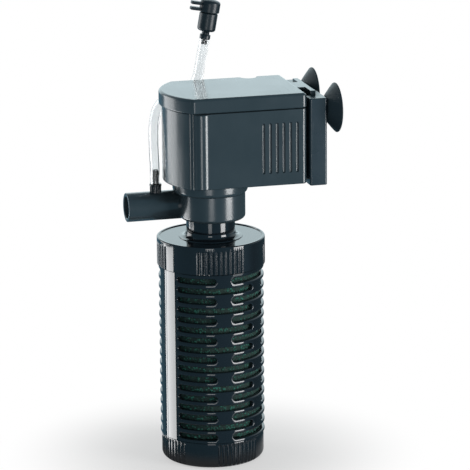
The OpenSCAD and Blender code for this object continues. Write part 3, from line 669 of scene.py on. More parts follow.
def cut_lug_ways(obj, r, z, z_open, turn):
    """Cuts the three ways that the lugs turn in, and their open entries, into an inner wall."""
    way_start = -1.0 if turn > 0 else -1.0 - TWIST_A
    entry_start = TWIST_A - 0.6 if turn > 0 else -TWIST_A - 0.6
    low_z, high_z = min(z, z_open), max(z, z_open)
    outer = r + LUG_T
    cuts = (
        ("way", r - 0.5, outer + 0.3, z - 0.3, z + LUG_H + 0.3, way_start, LUG_A + TWIST_A + 2),
        ("entry", r - 0.6, outer + 0.4, low_z, high_z, entry_start, LUG_A + 1.2))
    for name, inner, outer, z0, z1, start, sweep in cuts:
        cut(obj, joined(*(
            hoop(name, inner, outer, z0, z1, steps=24, angle=sweep, start=start + lug * 120)
            for lug in range(3))))


def build_bottom_cap():
    """Screw-on cap: round lower edge, grip grooves, floor boss."""
    edge, lip, floor = 3.5, 0.4, 2.4
    inner, boss, boss_bore, boss_top = CAP_R - 2.4, 7, 5.4, 7.4
    profile = [(0, 0), (12, 0), (24, 0)] + arc((CAP_R - edge, edge), edge, -90, 0, 8)
    profile += [(CAP_R, z) for z in (6.0, 9.0, 12.0, 13.4, Z_CUP - 0.9)]
    profile += arc((CAP_R - lip, Z_CUP - lip), lip, 0, 90, 3)
    profile += [(inner, Z_CUP), (inner, floor), (boss, floor), (boss, boss_top),
                (boss_bore, boss_top), (boss_bore, floor), (0, floor)]
    obj = spun("bottom_cap_shell", profile, steps=GRIP_STEPS)
    cut_grips(obj, CAP_R, 0.6, Z_CUP - 1.2, direction=-96)
    cut_lug_ways(obj, CAP_R - 2.7, Z_CUP - LUG_DEPTH, Z_CUP + 1, -1)
    finish_piece(obj, "base_cap", moulded("gloss_black"), "glossy_black", "bottom_cap", smooth=40)


def build_canister_head():
    """Top ring with grip grooves, flat top in a rim, neck and plug."""
    inner, neck, plug, seat, bore = RING_R - 2.2, 13.9, 10.3, 9.2, 8.0
    z_plate, z_top = 128.3, 130.7
    floor = z_top - 0.5
    wall = [(RING_R, z) for z in (Z_RING + 0.3, 118.0, 122.0, 126.0, 127.6, z_plate)]
    lip = arc((RING_R - 0.7, z_top - 0.7), 0.7, 0, 90, 5)
    rim = arc((RING_R - 1.3, z_top - 0.25), 0.25, 90, 180, 2)
    foot = [(neck + 4.4, floor), (neck + 4.2, floor + 0.35), (neck + 3.0, floor + 0.4)]
    sweep = arc((neck + 3.0, floor + 3.0), 2.6, 270, 180, 8)
    step = [(neck + 0.25, floor + 3.6), (neck, floor + 3.8)]
    profile = [(bore, z_plate), (inner, z_plate), (inner, Z_RING), (RING_R - 0.3, Z_RING)]
    profile += wall + lip + rim + [(RING_R - 1.75, floor)] + foot + sweep + step
    profile += [(neck, Z_VOLUTE - 0.5), (neck - 0.2, Z_VOLUTE - 0.3), (plug, Z_VOLUTE - 0.3)]
    profile += [(r, Z_VOLUTE + z) for r, z in (
        (plug, 0.9), (seat, 0.9), (seat, 2.7), (plug, 2.7), (plug, 3.6), (bore, 3.6))]
    obj = spun("canister_head_shell", profile, steps=GRIP_STEPS, closed=True)
    cut_grips(obj, RING_R, Z_RING - 0.1, 128.0, direction=-118)
    cut_lug_ways(obj, RING_R - 2.5, Z_RING + LUG_RISE, Z_RING - 1, 1)
    joined(obj, hoop("socket", 8.95, 10.35, z_plate - 8, z_plate + 0.2))
    finish_piece(
        obj, "canister_top", moulded("gloss_black"), "glossy_black", "canister_head", smooth=40)


# Cup: rows of slots in two fields of 180 degrees; angles count from the field's start
SLOT_ROWS = 17
COLUMN_A = 2.0
TILE_START_A = -14.5
TILE_A = 180.0
FIELD_DIR = -147.4
END_COLUMNS = 2
SHORT_FIRST = ((5.5, 45.5), (69.5, 145.5))
LONG_FIRST = ((5.5, 91.5), (115.5, 145.5))
STRIP_GROOVES = (-0.1, 150.9)
PARTING_A = 164.9


def along(a):
    """Length along the unrolled cup's wall at an angle."""
    return math.radians(a) * CUP_R


def cup_tile(z0):
    """Two rows of one unrolled field: a grid with its slots taken out and their ends rounded."""
    pitch = sizes().slot_pitch / MM
    half = sizes().slot_h / 2 / MM
    width = along(TILE_A)
    x_mid = along(TILE_START_A) + width / 2
    deselect()
    bpy.ops.mesh.primitive_grid_add(
        x_subdivisions=int(TILE_A / COLUMN_A), y_subdivisions=8, size=1,
        location=(x_mid * MM, 0, (z0 + pitch) * MM), rotation=(math.pi / 2, 0, 0))
    obj = bpy.context.object
    obj.scale = (width * MM, 2 * pitch * MM, 1)
    obj.name = "filter_cup_shell"
    obj.data.name = obj.name
    bpy.ops.object.transform_apply(location=True, rotation=True, scale=True)
    edit(obj)
    rows = ((z0 + pitch / 2, SHORT_FIRST), (z0 + pitch * 1.5, LONG_FIRST))
    for z, _ in rows:
        for side in (-1, 1):
            level = z + side * pitch / 4
            pick(obj, "verts", lambda v: abs(v.co.z / MM - level) < 0.01)
            bpy.ops.transform.translate(value=(0, 0, side * (half - pitch / 4) * MM))
    reach = along(END_COLUMNS * COLUMN_A)

    def in_slot(face):
        x, _, z = middle(face)
        return any(
            abs(z - row) < half and along(a) - reach < x < along(b) + reach
            for row, slots in rows for a, b in slots)

    pick(obj, "faces", in_slot)
    bpy.ops.mesh.delete(type="FACE")
    step = reach / END_COLUMNS
    for side, end in ((-1, 0), (1, 1)):
        for columns, height, turn in (
                (1, 1, 60), (2, 1, 30), (2, 0, 0), (2, -1, -30), (1, -1, -60)):
            spots = [(along(slot[end]) + side * columns * step, z + height * half)
                     for z, slots in rows for slot in slots]
            goal = (half * math.cos(math.radians(turn)), half * math.sin(math.radians(turn)))
            pick(obj, "verts", lambda v: any(
                abs(v.co.x / MM - x) < 0.02 and abs(v.co.z / MM - z) < 0.02 for x, z in spots))
            bpy.ops.transform.translate(
                value=(side * (goal[0] - columns * step) * MM, 0, (goal[1] - height * half) * MM))
    leave_edit()
    return obj


def press_cup_grooves(obj):
    """Presses the strip's edges and the parting lines into the outer face of the unrolled wall."""
    edit(obj)
    for side in (0, TILE_A):
        lines = [(a, 0.26, 0.5) for a in STRIP_GROOVES] + [(PARTING_A, 0.13, 0.12)]
        for a, wide, deep in lines:
            x = along(a + side)
            for offset in (-wide, 0, wide):
                select_all()
                bpy.ops.mesh.bisect(plane_co=((x + offset) * MM, 0, 0), plane_no=(1, 0, 0))
            pick(obj, "verts", lambda v: abs(v.co.x / MM - x) < 0.01 and v.co.y < 0.1 * MM)
            bpy.ops.transform.translate(value=(0, deep * MM, 0))
    leave_edit()


def build_filter_cup():
    """Slotted cup: unrolled wall, thickened, slots rounded, then bent round; spigots with lugs."""
    pitch = sizes().slot_pitch / MM
    wall = 2.2
    z0 = Z_CUP + 3.5 - pitch / 2
    z1 = z0 + SLOT_ROWS * pitch
    obj = cup_tile(z0)
    pairs = SLOT_ROWS // 2 + 1
    for count, offset in ((2, (along(TILE_A), 0, 0)), (pairs, (0, 0, 2 * pitch))):
        modify(obj, "ARRAY", count=count, use_relative_offset=False, use_constant_offset=True,
               constant_offset_displace=[v * MM for v in offset], use_merge_vertices=True,
               merge_threshold=0.002 * MM)
    edit(obj)
    pick(obj, "faces", lambda f: middle(f).z > z1)
    bpy.ops.mesh.delete(type="FACE")
    for z, goal in ((z0, Z_CUP + 0.3), (z1, Z_RING - 0.3)):
        pick(obj, "edges", at_height(z))
        extrude(0, 0, goal - z)
    select_all()
    bpy.ops.mesh.normals_make_consistent(inside=False)
    if pick(obj, "faces", lambda f: f.normal.y > 0.5):
        select_all()
        bpy.ops.mesh.flip_normals()
    select_all()
    extrude(0, wall, 0)
    select_all()
    bpy.ops.mesh.normals_make_consistent(inside=False)
    leave_edit()
    press_cup_grooves(obj)
    start, end = along(TILE_START_A), along(TILE_START_A + 2 * TILE_A)

    def on_seam(face):
        x = middle(face).x
        return abs(face.normal.x) > 0.99 and (abs(x - start) < 0.01 or abs(x - end) < 0.01)

    def on_rim(edge):
        if len(edge.link_faces) != 2 or edge.calc_face_angle() < 1.2:
            return False
        x, y, z = middle(edge)
        inside = Z_CUP + 0.5 < z < Z_RING - 0.5 and start + 0.1 < x < end - 0.1
        return abs(y) < 0.05 and inside

    edit(obj)
    pick(obj, "faces", on_seam)
    bpy.ops.mesh.delete(type="FACE")
    leave_edit()
    rounded(obj, sizes().slot_rim / MM, 3, on_rim)
    modify(obj, "SIMPLE_DEFORM", deform_method="BEND", deform_axis="Z", angle=TURN)
    placed(obj, move=(0, -CUP_R, 0))
    placed(obj, turn=(0, 0, FIELD_DIR + 90))
    tidy_mesh(obj, reach=0.003)
    low_r, top_r = CAP_R - 2.7, RING_R - 2.5
    low_spigot = [(low_r - 2, -6.5), (low_r, -6.5), (low_r, 0.3), (28, 0.3), (28, 1.8)]
    low_spigot = [(r, Z_CUP + z) for r, z in low_spigot + [(low_r - 2, 1.8)]]
    spigots = [spun("low_spigot", low_spigot, closed=True),
               hoop("top_spigot", top_r - 2, top_r, Z_RING - 1.8, Z_RING + 6.5)]
    for r, z in ((low_r, Z_CUP - LUG_DEPTH), (top_r, Z_RING + LUG_RISE)):
        for lug in range(3):
            spigots.append(hoop("lug", r - 0.6, r + LUG_T, z, z + LUG_H, steps=8, angle=LUG_A,
                                start=lug * 120))
    joined(obj, *spigots)
    finish_piece(obj, "cup", moulded("gloss_black"), "glossy_black", "filter_cup", smooth=50)


def build_foam():
    """Foam cylinder with a bore and a pitted outer face."""
    z0, z1 = low("foam_sponge").z, high("foam_sponge").z
    outer, bore = high("foam_sponge").x, 9.1
    rows = 100
    wall = [(outer, z0 + (z1 - z0) * i / rows) for i in range(rows + 1)]
    ends = [(r, z1) for r in (22, 16)] + [(bore, z1), (bore, z0)] + [(r, z0) for r in (16, 22)]
    obj = spun("foam_body", wall + ends, steps=240, closed=True)
    texture = bpy.data.textures.new("foam_cells", "VORONOI")
    texture.noise_scale = sizes().foam_cell
    modify(obj, "DISPLACE", texture=texture, texture_coords="LOCAL", strength=-0.9 * MM,
           mid_level=0.4)
    finish_piece(obj, "cup", foam_green(), "green_foam", "foam_sponge", smooth=180)


# ---- Pump ----

# The hose leaves the collar upwards, passes behind the head and ends at the valve
HOSE_ROUTE = (
    (-29.5, 10, 160.6), (-29.5, 10, 165.5), (-29.5, 10, 170.5), (-29.5, 11, 176),
    (-29.2, 13, 181.5), (-28.7, 15.5, 187), (-27.7, 18.8, 192.2), (-26, 22.6, 196.7),
    (-23.4, 26.6, 200.5), (-19.8, 30, 203), (-15.2, 32.3, 204.4), (-10, 33.3, 205.2),
    (-5, 33.5, 207), (-1, 33.5, 210.5), (1.6, 33.5, 215.3), (2.9, 33.4, 220.8),
    (3.9, 33.2, 226.4), (5, 33, 232), (6, 33, 237.6))
VALVE_TILT = math.degrees(math.atan2(
    HOSE_ROUTE[-1][0] - HOSE_ROUTE[-2][0], HOSE_ROUTE[-1][2] - HOSE_ROUTE[-2][2]))


# The side outlet: its axis, its outer radius and its bore's; the spider's lower face
OUTLET_Y, OUTLET_Z, OUTLET_R, OUTLET_BORE_R = 10.0, 147.5, 8.3, 6.3
SPIDER_Z = 145


def build_volute():
    """Pump chamber: round casing, tangential outlet, lock collar, inlet spider."""
    radius, centre_x, edge, lip = 18.7, 1.2, 2.0, 0.45
    z1 = Z_FLANGE - 0.1
    mouth, inner_end = low("pump_volute").x, -15.3
    length = inner_end - mouth
    across = {"turn": (0, 90, 0), "move": (mouth, OUTLET_Y, OUTLET_Z)}
    profile = [(0, Z_VOLUTE)] + arc((radius - edge, Z_VOLUTE + edge), edge, -90, 0, 6)
    casing = spun("pump_volute_shell", profile + [(radius, z1), (0, z1)], steps=128)
    placed(casing, move=(centre_x, 0, 0))
    r, groove_r = 17.6, 16.2
    profile = [
        (0, -1), (r, -1), (r, 1.1), (groove_r, 1.1), (groove_r, 2.9), (r, 2.9), (r, 4), (0, 4)]
    collar = spun("collar", [(r, Z_FLANGE + z) for r, z in profile], steps=128)
    cut(casing, collar, operation="UNION")
    profile = [(0, 0), (OUTLET_BORE_R + 0.9, 0)] + arc((OUTLET_R - lip, lip), lip, -90, 0, 4)
    pipe = placed(spun("outlet", profile + [(OUTLET_R, length), (0, length)]), **across)
    cut(casing, pipe, operation="UNION")
    z_floor = Z_VOLUTE + 5.4
    chamber = rod("chamber", 15.5, z_floor, Z_TOP)
    socket_r, inlet_r = 10.9, 8
    profile = [(0, -1), (socket_r, -1), (socket_r, 4), (inlet_r, 4), (inlet_r, 8), (0, 8)]
    socket = spun("socket", [(r, Z_VOLUTE + z) for r, z in profile])
    profile = [(0, -1), (OUTLET_BORE_R + 1.4, -1), (OUTLET_BORE_R + 0.4, 0), (OUTLET_BORE_R, 0.4)]
    profile += [(OUTLET_BORE_R, length - 0.2), (0, length - 0.2)]
    bore = placed(spun("bore", profile), **across)
    throat = rod("throat", OUTLET_BORE_R - 0.4, 0, 14, turn=(0, 90, 0),
                 move=(inner_end - 1.2, OUTLET_Y, OUTLET_Z))
    cut(throat, block("under", (-40, -20, 120), (20, 40, z_floor + 0.05)))
    stem = rod("stem_hole", 1.8, OUTLET_Z, 160, steps=32, move=(*HOSE_ROUTE[0][:2], 0))
    cut(casing, stem, chamber, socket, bore, throat)
    hub = hoop("hub", 2.7, 3.8, SPIDER_Z, SPIDER_Z + 3.4, steps=48)
    arm = (3.4, -0.9, SPIDER_Z), (8.5, 0.9, SPIDER_Z + 1.4)
    arms = [placed(block("arm", *arm), turn=(0, 0, 60 + 120 * i)) for i in range(3)]
    joined(casing, hub, *arms)
    finish_piece(casing, "head", moulded("satin_slate"), "satin_slate", "pump_volute")


# ---- Motor head ----

def head_outline(width, left, right, nose, corner, end):
    """Outline of the head from above: round nose on the left, flat sides and end."""
    nose_x = nose - left
    corner_y = width / 2 - corner
    reach = nose - corner
    corner_x = nose_x - math.sqrt(reach ** 2 - corner_y ** 2)
    a = math.degrees(math.asin(corner_y / reach))
    far = (right - end, width / 2 - end)
    return (arc((nose_x, 0), nose, 180 - a, 180 + a, 32)[:-1]
            + arc((corner_x, -corner_y), corner, 180 + a, 270, 8)
            + arc((far[0], -far[1]), end, 270, 360, 8)
            + arc(far, end, 0, 90, 8)
            + arc((corner_x, corner_y), corner, 90, 180 - a, 8)[:-1])


# The joint between housing and lid, the lid's outline, and the housing's within it
Z_SEAM = Z_TOP - 8.3
HEAD_W, HEAD_LEFT, HEAD_RIGHT, NOSE_R = 56.2, 28.3, 49.4, 38.0
NOSE_INSET = 1.6
SIDE_Y = HEAD_W / 2 - 0.15
# The cord inlet: its axis and radius, and how rods round it are made and placed
INLET = (30.1, SIDE_Y - 0.6)
INLET_R = 3.9
AT_INLET = {"steps": 64, "move": (*INLET, 0)}
# Tops of the rotor well, of the room for the rotor in it and of the bush's seat
WELL_TOP, ROOM_TOP, SEAT_TOP = 200.4, 195.3, 199
# The T-rail: its inner face, and half the widths of its head and its web
RAIL_X, RAIL_HALF, RAIL_WEB = 54.0, 18.5, 7.5
GROOVES, GROOVE_PITCH = 6, 3.9
# Round columns at the nose's corners, each with a valley beside it
COLUMN_X, COLUMN_Y, COLUMN_R, VALLEY_R = -10.5, 23.85, 5.3, 2.2


def shell_outline(half_width, left, right, nose, inset):
    """An outline of the head, drawn in by a distance."""
    return head_outline(2 * (half_width - inset), left - inset, right - inset, nose - inset,
                        max(3 - inset, 0.3), max(2.5 - inset, 0.3))


def lid_outline():
    """The lid's outline."""
    return shell_outline(HEAD_W / 2, HEAD_LEFT, HEAD_RIGHT, NOSE_R, 0)


def body_outline(inset=0.0):
    """The housing's outline, drawn in by a distance."""
    return shell_outline(
        SIDE_Y, HEAD_LEFT - NOSE_INSET, HEAD_RIGHT - 0.15, NOSE_R - NOSE_INSET, inset)


def rail(z0, z1):
    """The T-shaped rail on the flat end."""
    root, outer = HEAD_RIGHT - 1.2, RAIL_X + 3
    half = [(root, -RAIL_WEB), (RAIL_X, -RAIL_WEB), (RAIL_X, -RAIL_HALF), (outer, -RAIL_HALF)]
    return soften(slab("rail", half + [(x, -y) for x, y in reversed(half)], z0, z1), 0.3, 2)


def side_groove(x, side):
    """A cutter for one upright groove with round ends and a rounded rim."""
    radius, height, deep = 0.85, 29.0, 0.9
    z0 = Z_HEAD + 7
    outline = arc((x, z0 + height - radius), radius, 0, 180, 10)
    outline += arc((x, z0 + radius), radius, 180, 360, 10)
    obj = draw("groove", [(px, side * (SIDE_Y + 1), pz) for px, pz in outline])
    select_all()
    bpy.ops.mesh.edge_face_add()
    extrude(0, -side * (1 + deep), 0)
    tidy_mesh(obj)
    return rounded(obj, 0.78, 6, lambda edge: all(
        abs(abs(v.co.y / MM) - (SIDE_Y - deep)) < 0.01 for v in edge.verts))


def build_housing():
    """Motor housing: nose, corner columns, side grooves, flange, rotor well, rail and cord boss."""
    z1 = Z_SEAM - 0.5
    body = slab("motor_housing_shell", body_outline(), Z_HEAD, z1)
    rounded(body, 0.7, 3, at_height(Z_HEAD))
    rounded(body, 0.25, 2, at_height(z1))
    profile = [(0, Z_HEAD + 0.3), (COLUMN_R - 0.4, Z_HEAD + 0.3), (COLUMN_R, Z_HEAD + 0.7),
               (COLUMN_R, z1 - 0.5), (COLUMN_R - 0.4, z1 - 0.1), (0, z1 - 0.1)]
    turn, reach = math.radians(164.7), COLUMN_R + VALLEY_R
    columns = []
    valleys = []
    for side in (-1, 1):
        columns.append(placed(spun("column", profile), move=(COLUMN_X, side * COLUMN_Y, 0)))
        x, y = COLUMN_X + reach * math.cos(turn), COLUMN_Y + reach * math.sin(turn)
        valleys.append(rod(
            "valley", VALLEY_R, Z_HEAD - 1, z1 + 1, steps=64, move=(x, side * y, 0)))
    cut(body, *valleys)
    flange_r, edge = 21.4, 2.5
    rim = arc((flange_r - edge, Z_FLANGE + edge), edge, -90, 0, 8)
    profile = [(0, Z_FLANGE), (flange_r - edge, Z_FLANGE)] + rim[1:]
    profile += [(flange_r, Z_HEAD + 0.9), (0, Z_HEAD + 0.9)]
    flange = spun("flange", profile, steps=128)
    boss_r, z_boss = INLET_R + 1.2, Z_SEAM - 12
    boss = rod("boss", boss_r, z_boss, z1, **AT_INLET)
    wide = RAIL_HALF - 0.1
    stop = block(
        "stop", (HEAD_RIGHT - 1.2, -wide, Z_HEAD + 0.02), (RAIL_X + 1.5, wide, Z_HEAD + 2.4))
    cut(body, flange, boss, rail(Z_HEAD + 0.01, z1 - 0.01), stop, *columns, operation="UNION")
    cavity = slab("cavity", body_outline(2.2), Z_HEAD + 2.7, Z_TOP)
    well = rod("well", 11, Z_HEAD - 1, WELL_TOP)
    keep = rod("keep", boss_r, z_boss, Z_TOP + 5, **AT_INLET)
    z_core = low("stator_core").z - 0.1
    pillars = [rod("pillar", 2.5, Z_HEAD + 2.2, z_core, steps=48, move=(x, y, 0))
               for x in (-5, 22) for y in (-15.05, 15.05)]
    cut(cavity, well, keep, joined(*pillars))
    lock = rod("lock", 17.9, Z_FLANGE - 1, Z_FLANGE + 4.3)
    room_r, seat_r = 9.6, 2.67
    rotor = spun("rotor_room", [
        (0, Z_FLANGE), (room_r, Z_FLANGE), (room_r, ROOM_TOP), (seat_r, ROOM_TOP),
        (seat_r, SEAT_TOP), (0, SEAT_TOP)])
    inlet = rod("inlet", INLET_R + 0.05, Z_SEAM - 9, Z_TOP, **AT_INLET)
    grooves = [side_groove(HEAD_RIGHT - 5.9 - i * GROOVE_PITCH, side)
               for side in (-1, 1) for i in range(GROOVES)]
    lead = rod("lead_hole", 1.5, -8, 0, steps=32, turn=(-90, 0, 0), move=(*INLET, Z_SEAM - 6.8))
    cut(inlet, lead, operation="UNION")
    cut(body, joined(*grooves), cavity, lock, rotor, inlet)
    finish_piece(body, "head", moulded("satin_slate"), "satin_slate", "motor_housing", smooth=30)


def build_lid():
    """Lid of the housing: round upper edge, plug lip, cord notch and the rail's top."""
    under, over = 150, 240
    lid = slab("head_lid_shell", lid_outline(), Z_SEAM, Z_TOP)
    rounded(lid, sizes().lid_edge / MM, 6, at_height(Z_TOP))
    rounded(lid, 0.8, 4, at_height(Z_SEAM))
    cut(lid, slab("lip", body_outline(2.3), Z_SEAM - 3, Z_SEAM + 1), operation="UNION")
    hollow = slab("hollow", body_outline(3.9), Z_SEAM - 4, Z_TOP - 2.2)
    cut(hollow, rod("notch_wall", 6.4, under, over, **AT_INLET))
    cut(lid, hollow)
    cut(lid, rail(Z_SEAM + 0.01, Z_TOP - 0.8), operation="UNION")
    r = INLET_R + 1
    notch = spun("notch", [(0, under), (r, under), (r, Z_TOP - 0.5), (r + 0.15, Z_TOP - 0.15),
                           (r + 0.5, Z_TOP), (r + 0.5, over), (0, over)], steps=64)
    placed(notch, move=(*INLET, 0))
    way = block("way", (INLET[0] - r, INLET[1], under), (INLET[0] + r, INLET[1] + 20, over))
    cut(lid, notch, way, rod("sleeve", INLET_R + 1.3, under, Z_SEAM, **AT_INLET))
    finish_piece(lid, "head", moulded("satin_slate"), "satin_slate", "head_lid", smooth=30)


def build_gland():
    """Rubber inlet of the mains lead: flange, ribbed collar and open bore."""
    bore_r = 2.9
    steps = [(0, -8.9), (0, -0.4), (0.7, -0.4), (0.7, 0.9), (0.5, 1.0), (-0.1, 1.0)]
    for z in (1.3, 2.4):
        steps += [(-0.4, z), (-0.05, z + 0.25), (-0.05, z + 0.65), (-0.4, z + 0.9)]
    profile = [(0, Z_SEAM - 8.9)] + [(INLET_R + r, Z_SEAM + z) for r, z in steps]
    profile += [(INLET_R - 0.2, Z_SEAM + 3.8), (bore_r, Z_SEAM + 3.8), (bore_r, Z_SEAM - 4.9)]
    obj = spun("cord_gland_sleeve", profile + [(0, Z_SEAM - 4.9)], steps=64)
    placed(obj, move=(*INLET, 0))
    finish_piece(obj, "head", moulded("matt_rubber"), "seal_rubber", "cord_gland", smooth=40)


# ---- Air line ----

def build_air_nozzle():
    """Ribbed collar on the outlet, with a hollow barbed stem for the hose."""
    x, y, z = HOSE_ROUTE[0]
    z1 = z - 0.3
    radius, ribs, steps = 2.9, 12, 96
    collar = spun("air_nozzle_shell", [
        (0, OUTLET_Z + 4), (radius, OUTLET_Z + 4), (radius, OUTLET_Z + 7), (radius, z1 - 1.35),
        (0, z1 - 1.35)], steps=steps)
    edit(collar)
    for offset, rise in ((0, 0.42), (1, 0.30), (-1, 0.30)):
        def on_rib(vert):
            px, py, _ = vert.co / MM
            column = round(math.degrees(math.atan2(py, px)) / 360 * steps) % steps
            return math.hypot(px, py) > 2 and (column - offset) % (steps // ribs) == 0

        pick(collar, "verts", on_rib)
        share = 1 + rise / radius
        bpy.ops.transform.resize(value=(share, share, 1), center_override=(0, 0, 0))
    leave_edit()
    cut(collar, rod("saddle", OUTLET_R + 0.05, -20, 20, turn=(0, 90, 0), move=(0, 0, OUTLET_Z)))
    stem = [(1.85, 0), (1.85, 5.2), (1.95, 5.2), (1.95, 5.5), (1.6, 8.2), (0, 8.2)]
    profile = [(0, z1 - 1.4)] + arc((3.05, z1 - 1.05), 0.35, -90, 0, 3)
    profile += arc((3.05, z1 - 0.35), 0.35, 0, 90, 3) + [(r, z1 + up) for r, up in stem]
    disc = spun("disc", profile, steps=64)
    foot = rod("foot", 1.7, OUTLET_Z + 6.4, OUTLET_Z + 9, steps=64)
    cut(collar, disc, foot, operation="UNION")
    cut(collar, rod("bore", 0.8, 140, 200, steps=32))
    placed(collar, move=(x, y, 0))
    finish_piece(collar, "head", moulded("satin_fitting"), "fitting_black", "air_nozzle", smooth=40)


def build_air_hose():
    """Clear hose on a smooth curve through its route, as a hollow tube with both ends open."""
    curve = bpy.data.curves.new("air_hose_tube", "CURVE")
    curve.dimensions = "3D"
    line = curve.splines.new("BEZIER")
    line.bezier_points.add(len(HOSE_ROUTE) - 1)
    for point, spot in zip(line.bezier_points, HOSE_ROUTE):
        point.co = Vector(spot) * MM
        point.handle_left_type = point.handle_right_type = "AUTO"
    line.resolution_u = 8
    curve.bevel_depth = sizes().hose_d / 2
    curve.bevel_resolution = 12
    obj = new_object("air_hose_tube", curve)
    activate(obj)
    bpy.ops.object.convert(target="MESH")
    tidy_mesh(obj)
    modify(obj, "SOLIDIFY", thickness=sizes().hose_wall, offset=-1, use_even_offset=True)
    finish_piece(obj, "head", clear_silicone(), "clear_hose", "air_hose", smooth=60)
    return obj


def at_valve(obj):
    """Puts a piece that was made upright at the origin onto the hose's end."""
    return placed(obj, turn=(0, VALVE_TILT, 0), move=HOSE_ROUTE[-1])


def build_valve_body():
    """Valve body: stem and collar for the hose, neck, barrel with a round shoulder."""
    r, edge = 5.25, 1.6
    top = 17.9
    profile = [
        (0, 13.9), (0.8, 13.9), (0.8, -3), (1.5, -3), (1.7, -2.7), (1.7, 0.1), (2.85, 0.1),
        (3.05, 0.3), (3.05, 2.4), (2.85, 2.7), (2.2, 2.8), (2.2, 4.4), (2.4, 4.7)]
    profile += arc((r - edge, 4.7 + edge), edge, -90, 0, 8)
    profile += [(r, 14.8), (r - 0.25, 15.1), (r - 1, 15.5), (r - 1, top - 0.3), (r - 1.3, top)]
    profile.append((0, top))
    obj = at_valve(spun("valve_barrel", profile))
    finish_piece(obj, "head", moulded("satin_valve"), "valve_slate", "valve_body", smooth=40)
    return obj


def build_valve_knob():
    """Turning cap of the valve with two prongs to one side."""
    r, z0, inner = 5.8, 15.7, 4.55
    z1 = z0 + 7.4
    profile = [(0, 18.2), (inner, 18.2), (inner, z0 + 0.2), (inner + 0.2, z0), (r - 0.35, z0)]
    profile.append((r, z0 + 0.35))
    profile += arc((r - 1.7, z1 - 2.3), 1.7, 0, 60, 6)
    profile += [(4.0, z1 - 0.52), (3.0, z1 - 0.25), (1.8, z1 - 0.07), (0, z1)]
    cap = spun("valve_cap", profile)

    def upright_tip(edge):
        return middle(edge).x < -r - 5 and abs(edge.verts[0].co.z - edge.verts[1].co.z) > MM

    for z in (z0 + 0.2, z0 + 0.2 + 3.3):
        prong = block("prong", (-r - 5.5, -2.3, z), (-r + 0.8, 2.3, z + 1.8))
        rounded(prong, 1.1, 4, upright_tip)
        cut(cap, soften(prong, 0.35), operation="UNION")
    finish_piece(
        at_valve(cap), "knob", moulded("satin_valve"), "valve_slate", "valve_knob", smooth=40)
    return cap


# ---- Bracket and suction cups ----

# The suction cups' places: beside the middle, and below the bracket's top
CUP_Y, CUP_DROP = 23, 6.8


def build_bracket():
    """Slide-on wall bracket: slab with a T-shaped channel, lower way, pocket and two holes."""
    x0, x1 = low("bracket").x, high("bracket").x
    z1 = high("bracket").z
    half, corner, gap = high("bracket").y, 1.2, 0.3
    outline = (arc((x1 - corner, half - corner), corner, 0, 90, 5)
               + arc((x0 + corner, half - corner), corner, 90, 180, 5)
               + arc((x0 + corner, corner - half), corner, 180, 270, 5)
               + arc((x1 - corner, corner - half), corner, 270, 360, 5))
    body = slab("bracket_plate", outline, Z_BRACKET, z1)
    rounded(body, 0.6, 3, at_height(Z_BRACKET, z1))
    face, wide, web = RAIL_X - gap, RAIL_HALF + gap, RAIL_WEB + gap
    z_low, z_high = Z_BRACKET - 1, z1 + 1
    tools = [
        block("channel", (face, -wide, z_low), (face + 3 + 2 * gap, wide, z_high)),
        block("way", (x0 - 1, -web, z_low), (x0 + 4.3, web, z_high)),
        block("lower", (x0 - 1, -wide, z_low), (x0 + 4.3, wide, Z_HEAD + 2.4 + gap)),
        block("pocket", (x0 - 1, -wide, z1 - 6), (x0 + 4.3, wide, z_high))]
    for side in (-1, 1):
        tools.append(rod("hole", 2.6, -5.8, 5, steps=48, turn=(0, 90, 0),
                         move=(x1, side * CUP_Y, z1 - CUP_DROP)))
    cut(body, *tools)
    soften(body, 0.3, 2, over=50)
    finish_piece(body, "wall_bracket", moulded("satin_bracket"), "bracket_slate", "bracket")


def build_suction_cups():
    """Two suction cups with stems in the bracket's holes."""
    profile = [
        (0, -5.5), (2.2, -5.5), (2.5, -5.2), (2.5, 0.1), (6.0, 0.1), (6.5, 0.16), (7.1, 0.45),
        (7.8, 0.95), (8.6, 1.55), (9.6, 2.35), (10.7, 3.27), (11.8, 4.2), (12.8, 5.1), (13.6, 5.82),
        (13.92, 6.14), (14.0, 6.35), (13.95, 6.6), (13.75, 6.7), (12.9, 6.7), (12.4, 6.4),
        (11.4, 5.62), (10.2, 4.78), (8.8, 4.05), (7.0, 3.35), (5.0, 2.8), (2.6, 2.25), (0, 2.01)]
    x, z = high("bracket").x, high("bracket").z - CUP_DROP
    for side, name in ((-1, "suction_cup_front"), (1, "suction_cup_rear")):
        cup = spun(name + "_shell", profile, steps=128)
        placed(cup, turn=(0, 90, 0), move=(x, side * CUP_Y, z))
        finish_piece(cup, "wall_bracket", moulded("matt_rubber"), "cup_rubber", name, smooth=60)


# ---- Internals ----

def dressed(node, body, material, slot, width):
    """A copy of a rigid node with merged faces and rounded edges, in the node's place."""
    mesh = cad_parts[node].data.copy()
    obj = new_object(node + "_shell", mesh)
    mesh.name = obj.name
    tidy_mesh(obj, reach=0.002)
    edit(obj)
    bpy.ops.mesh.dissolve_limited(angle_limit=math.radians(0.6), delimit={"NORMAL"})
    leave_edit()
    if width:
        soften(obj, width, 2, over=35)
    return finish_piece(obj, body, material, slot, node, smooth=30)


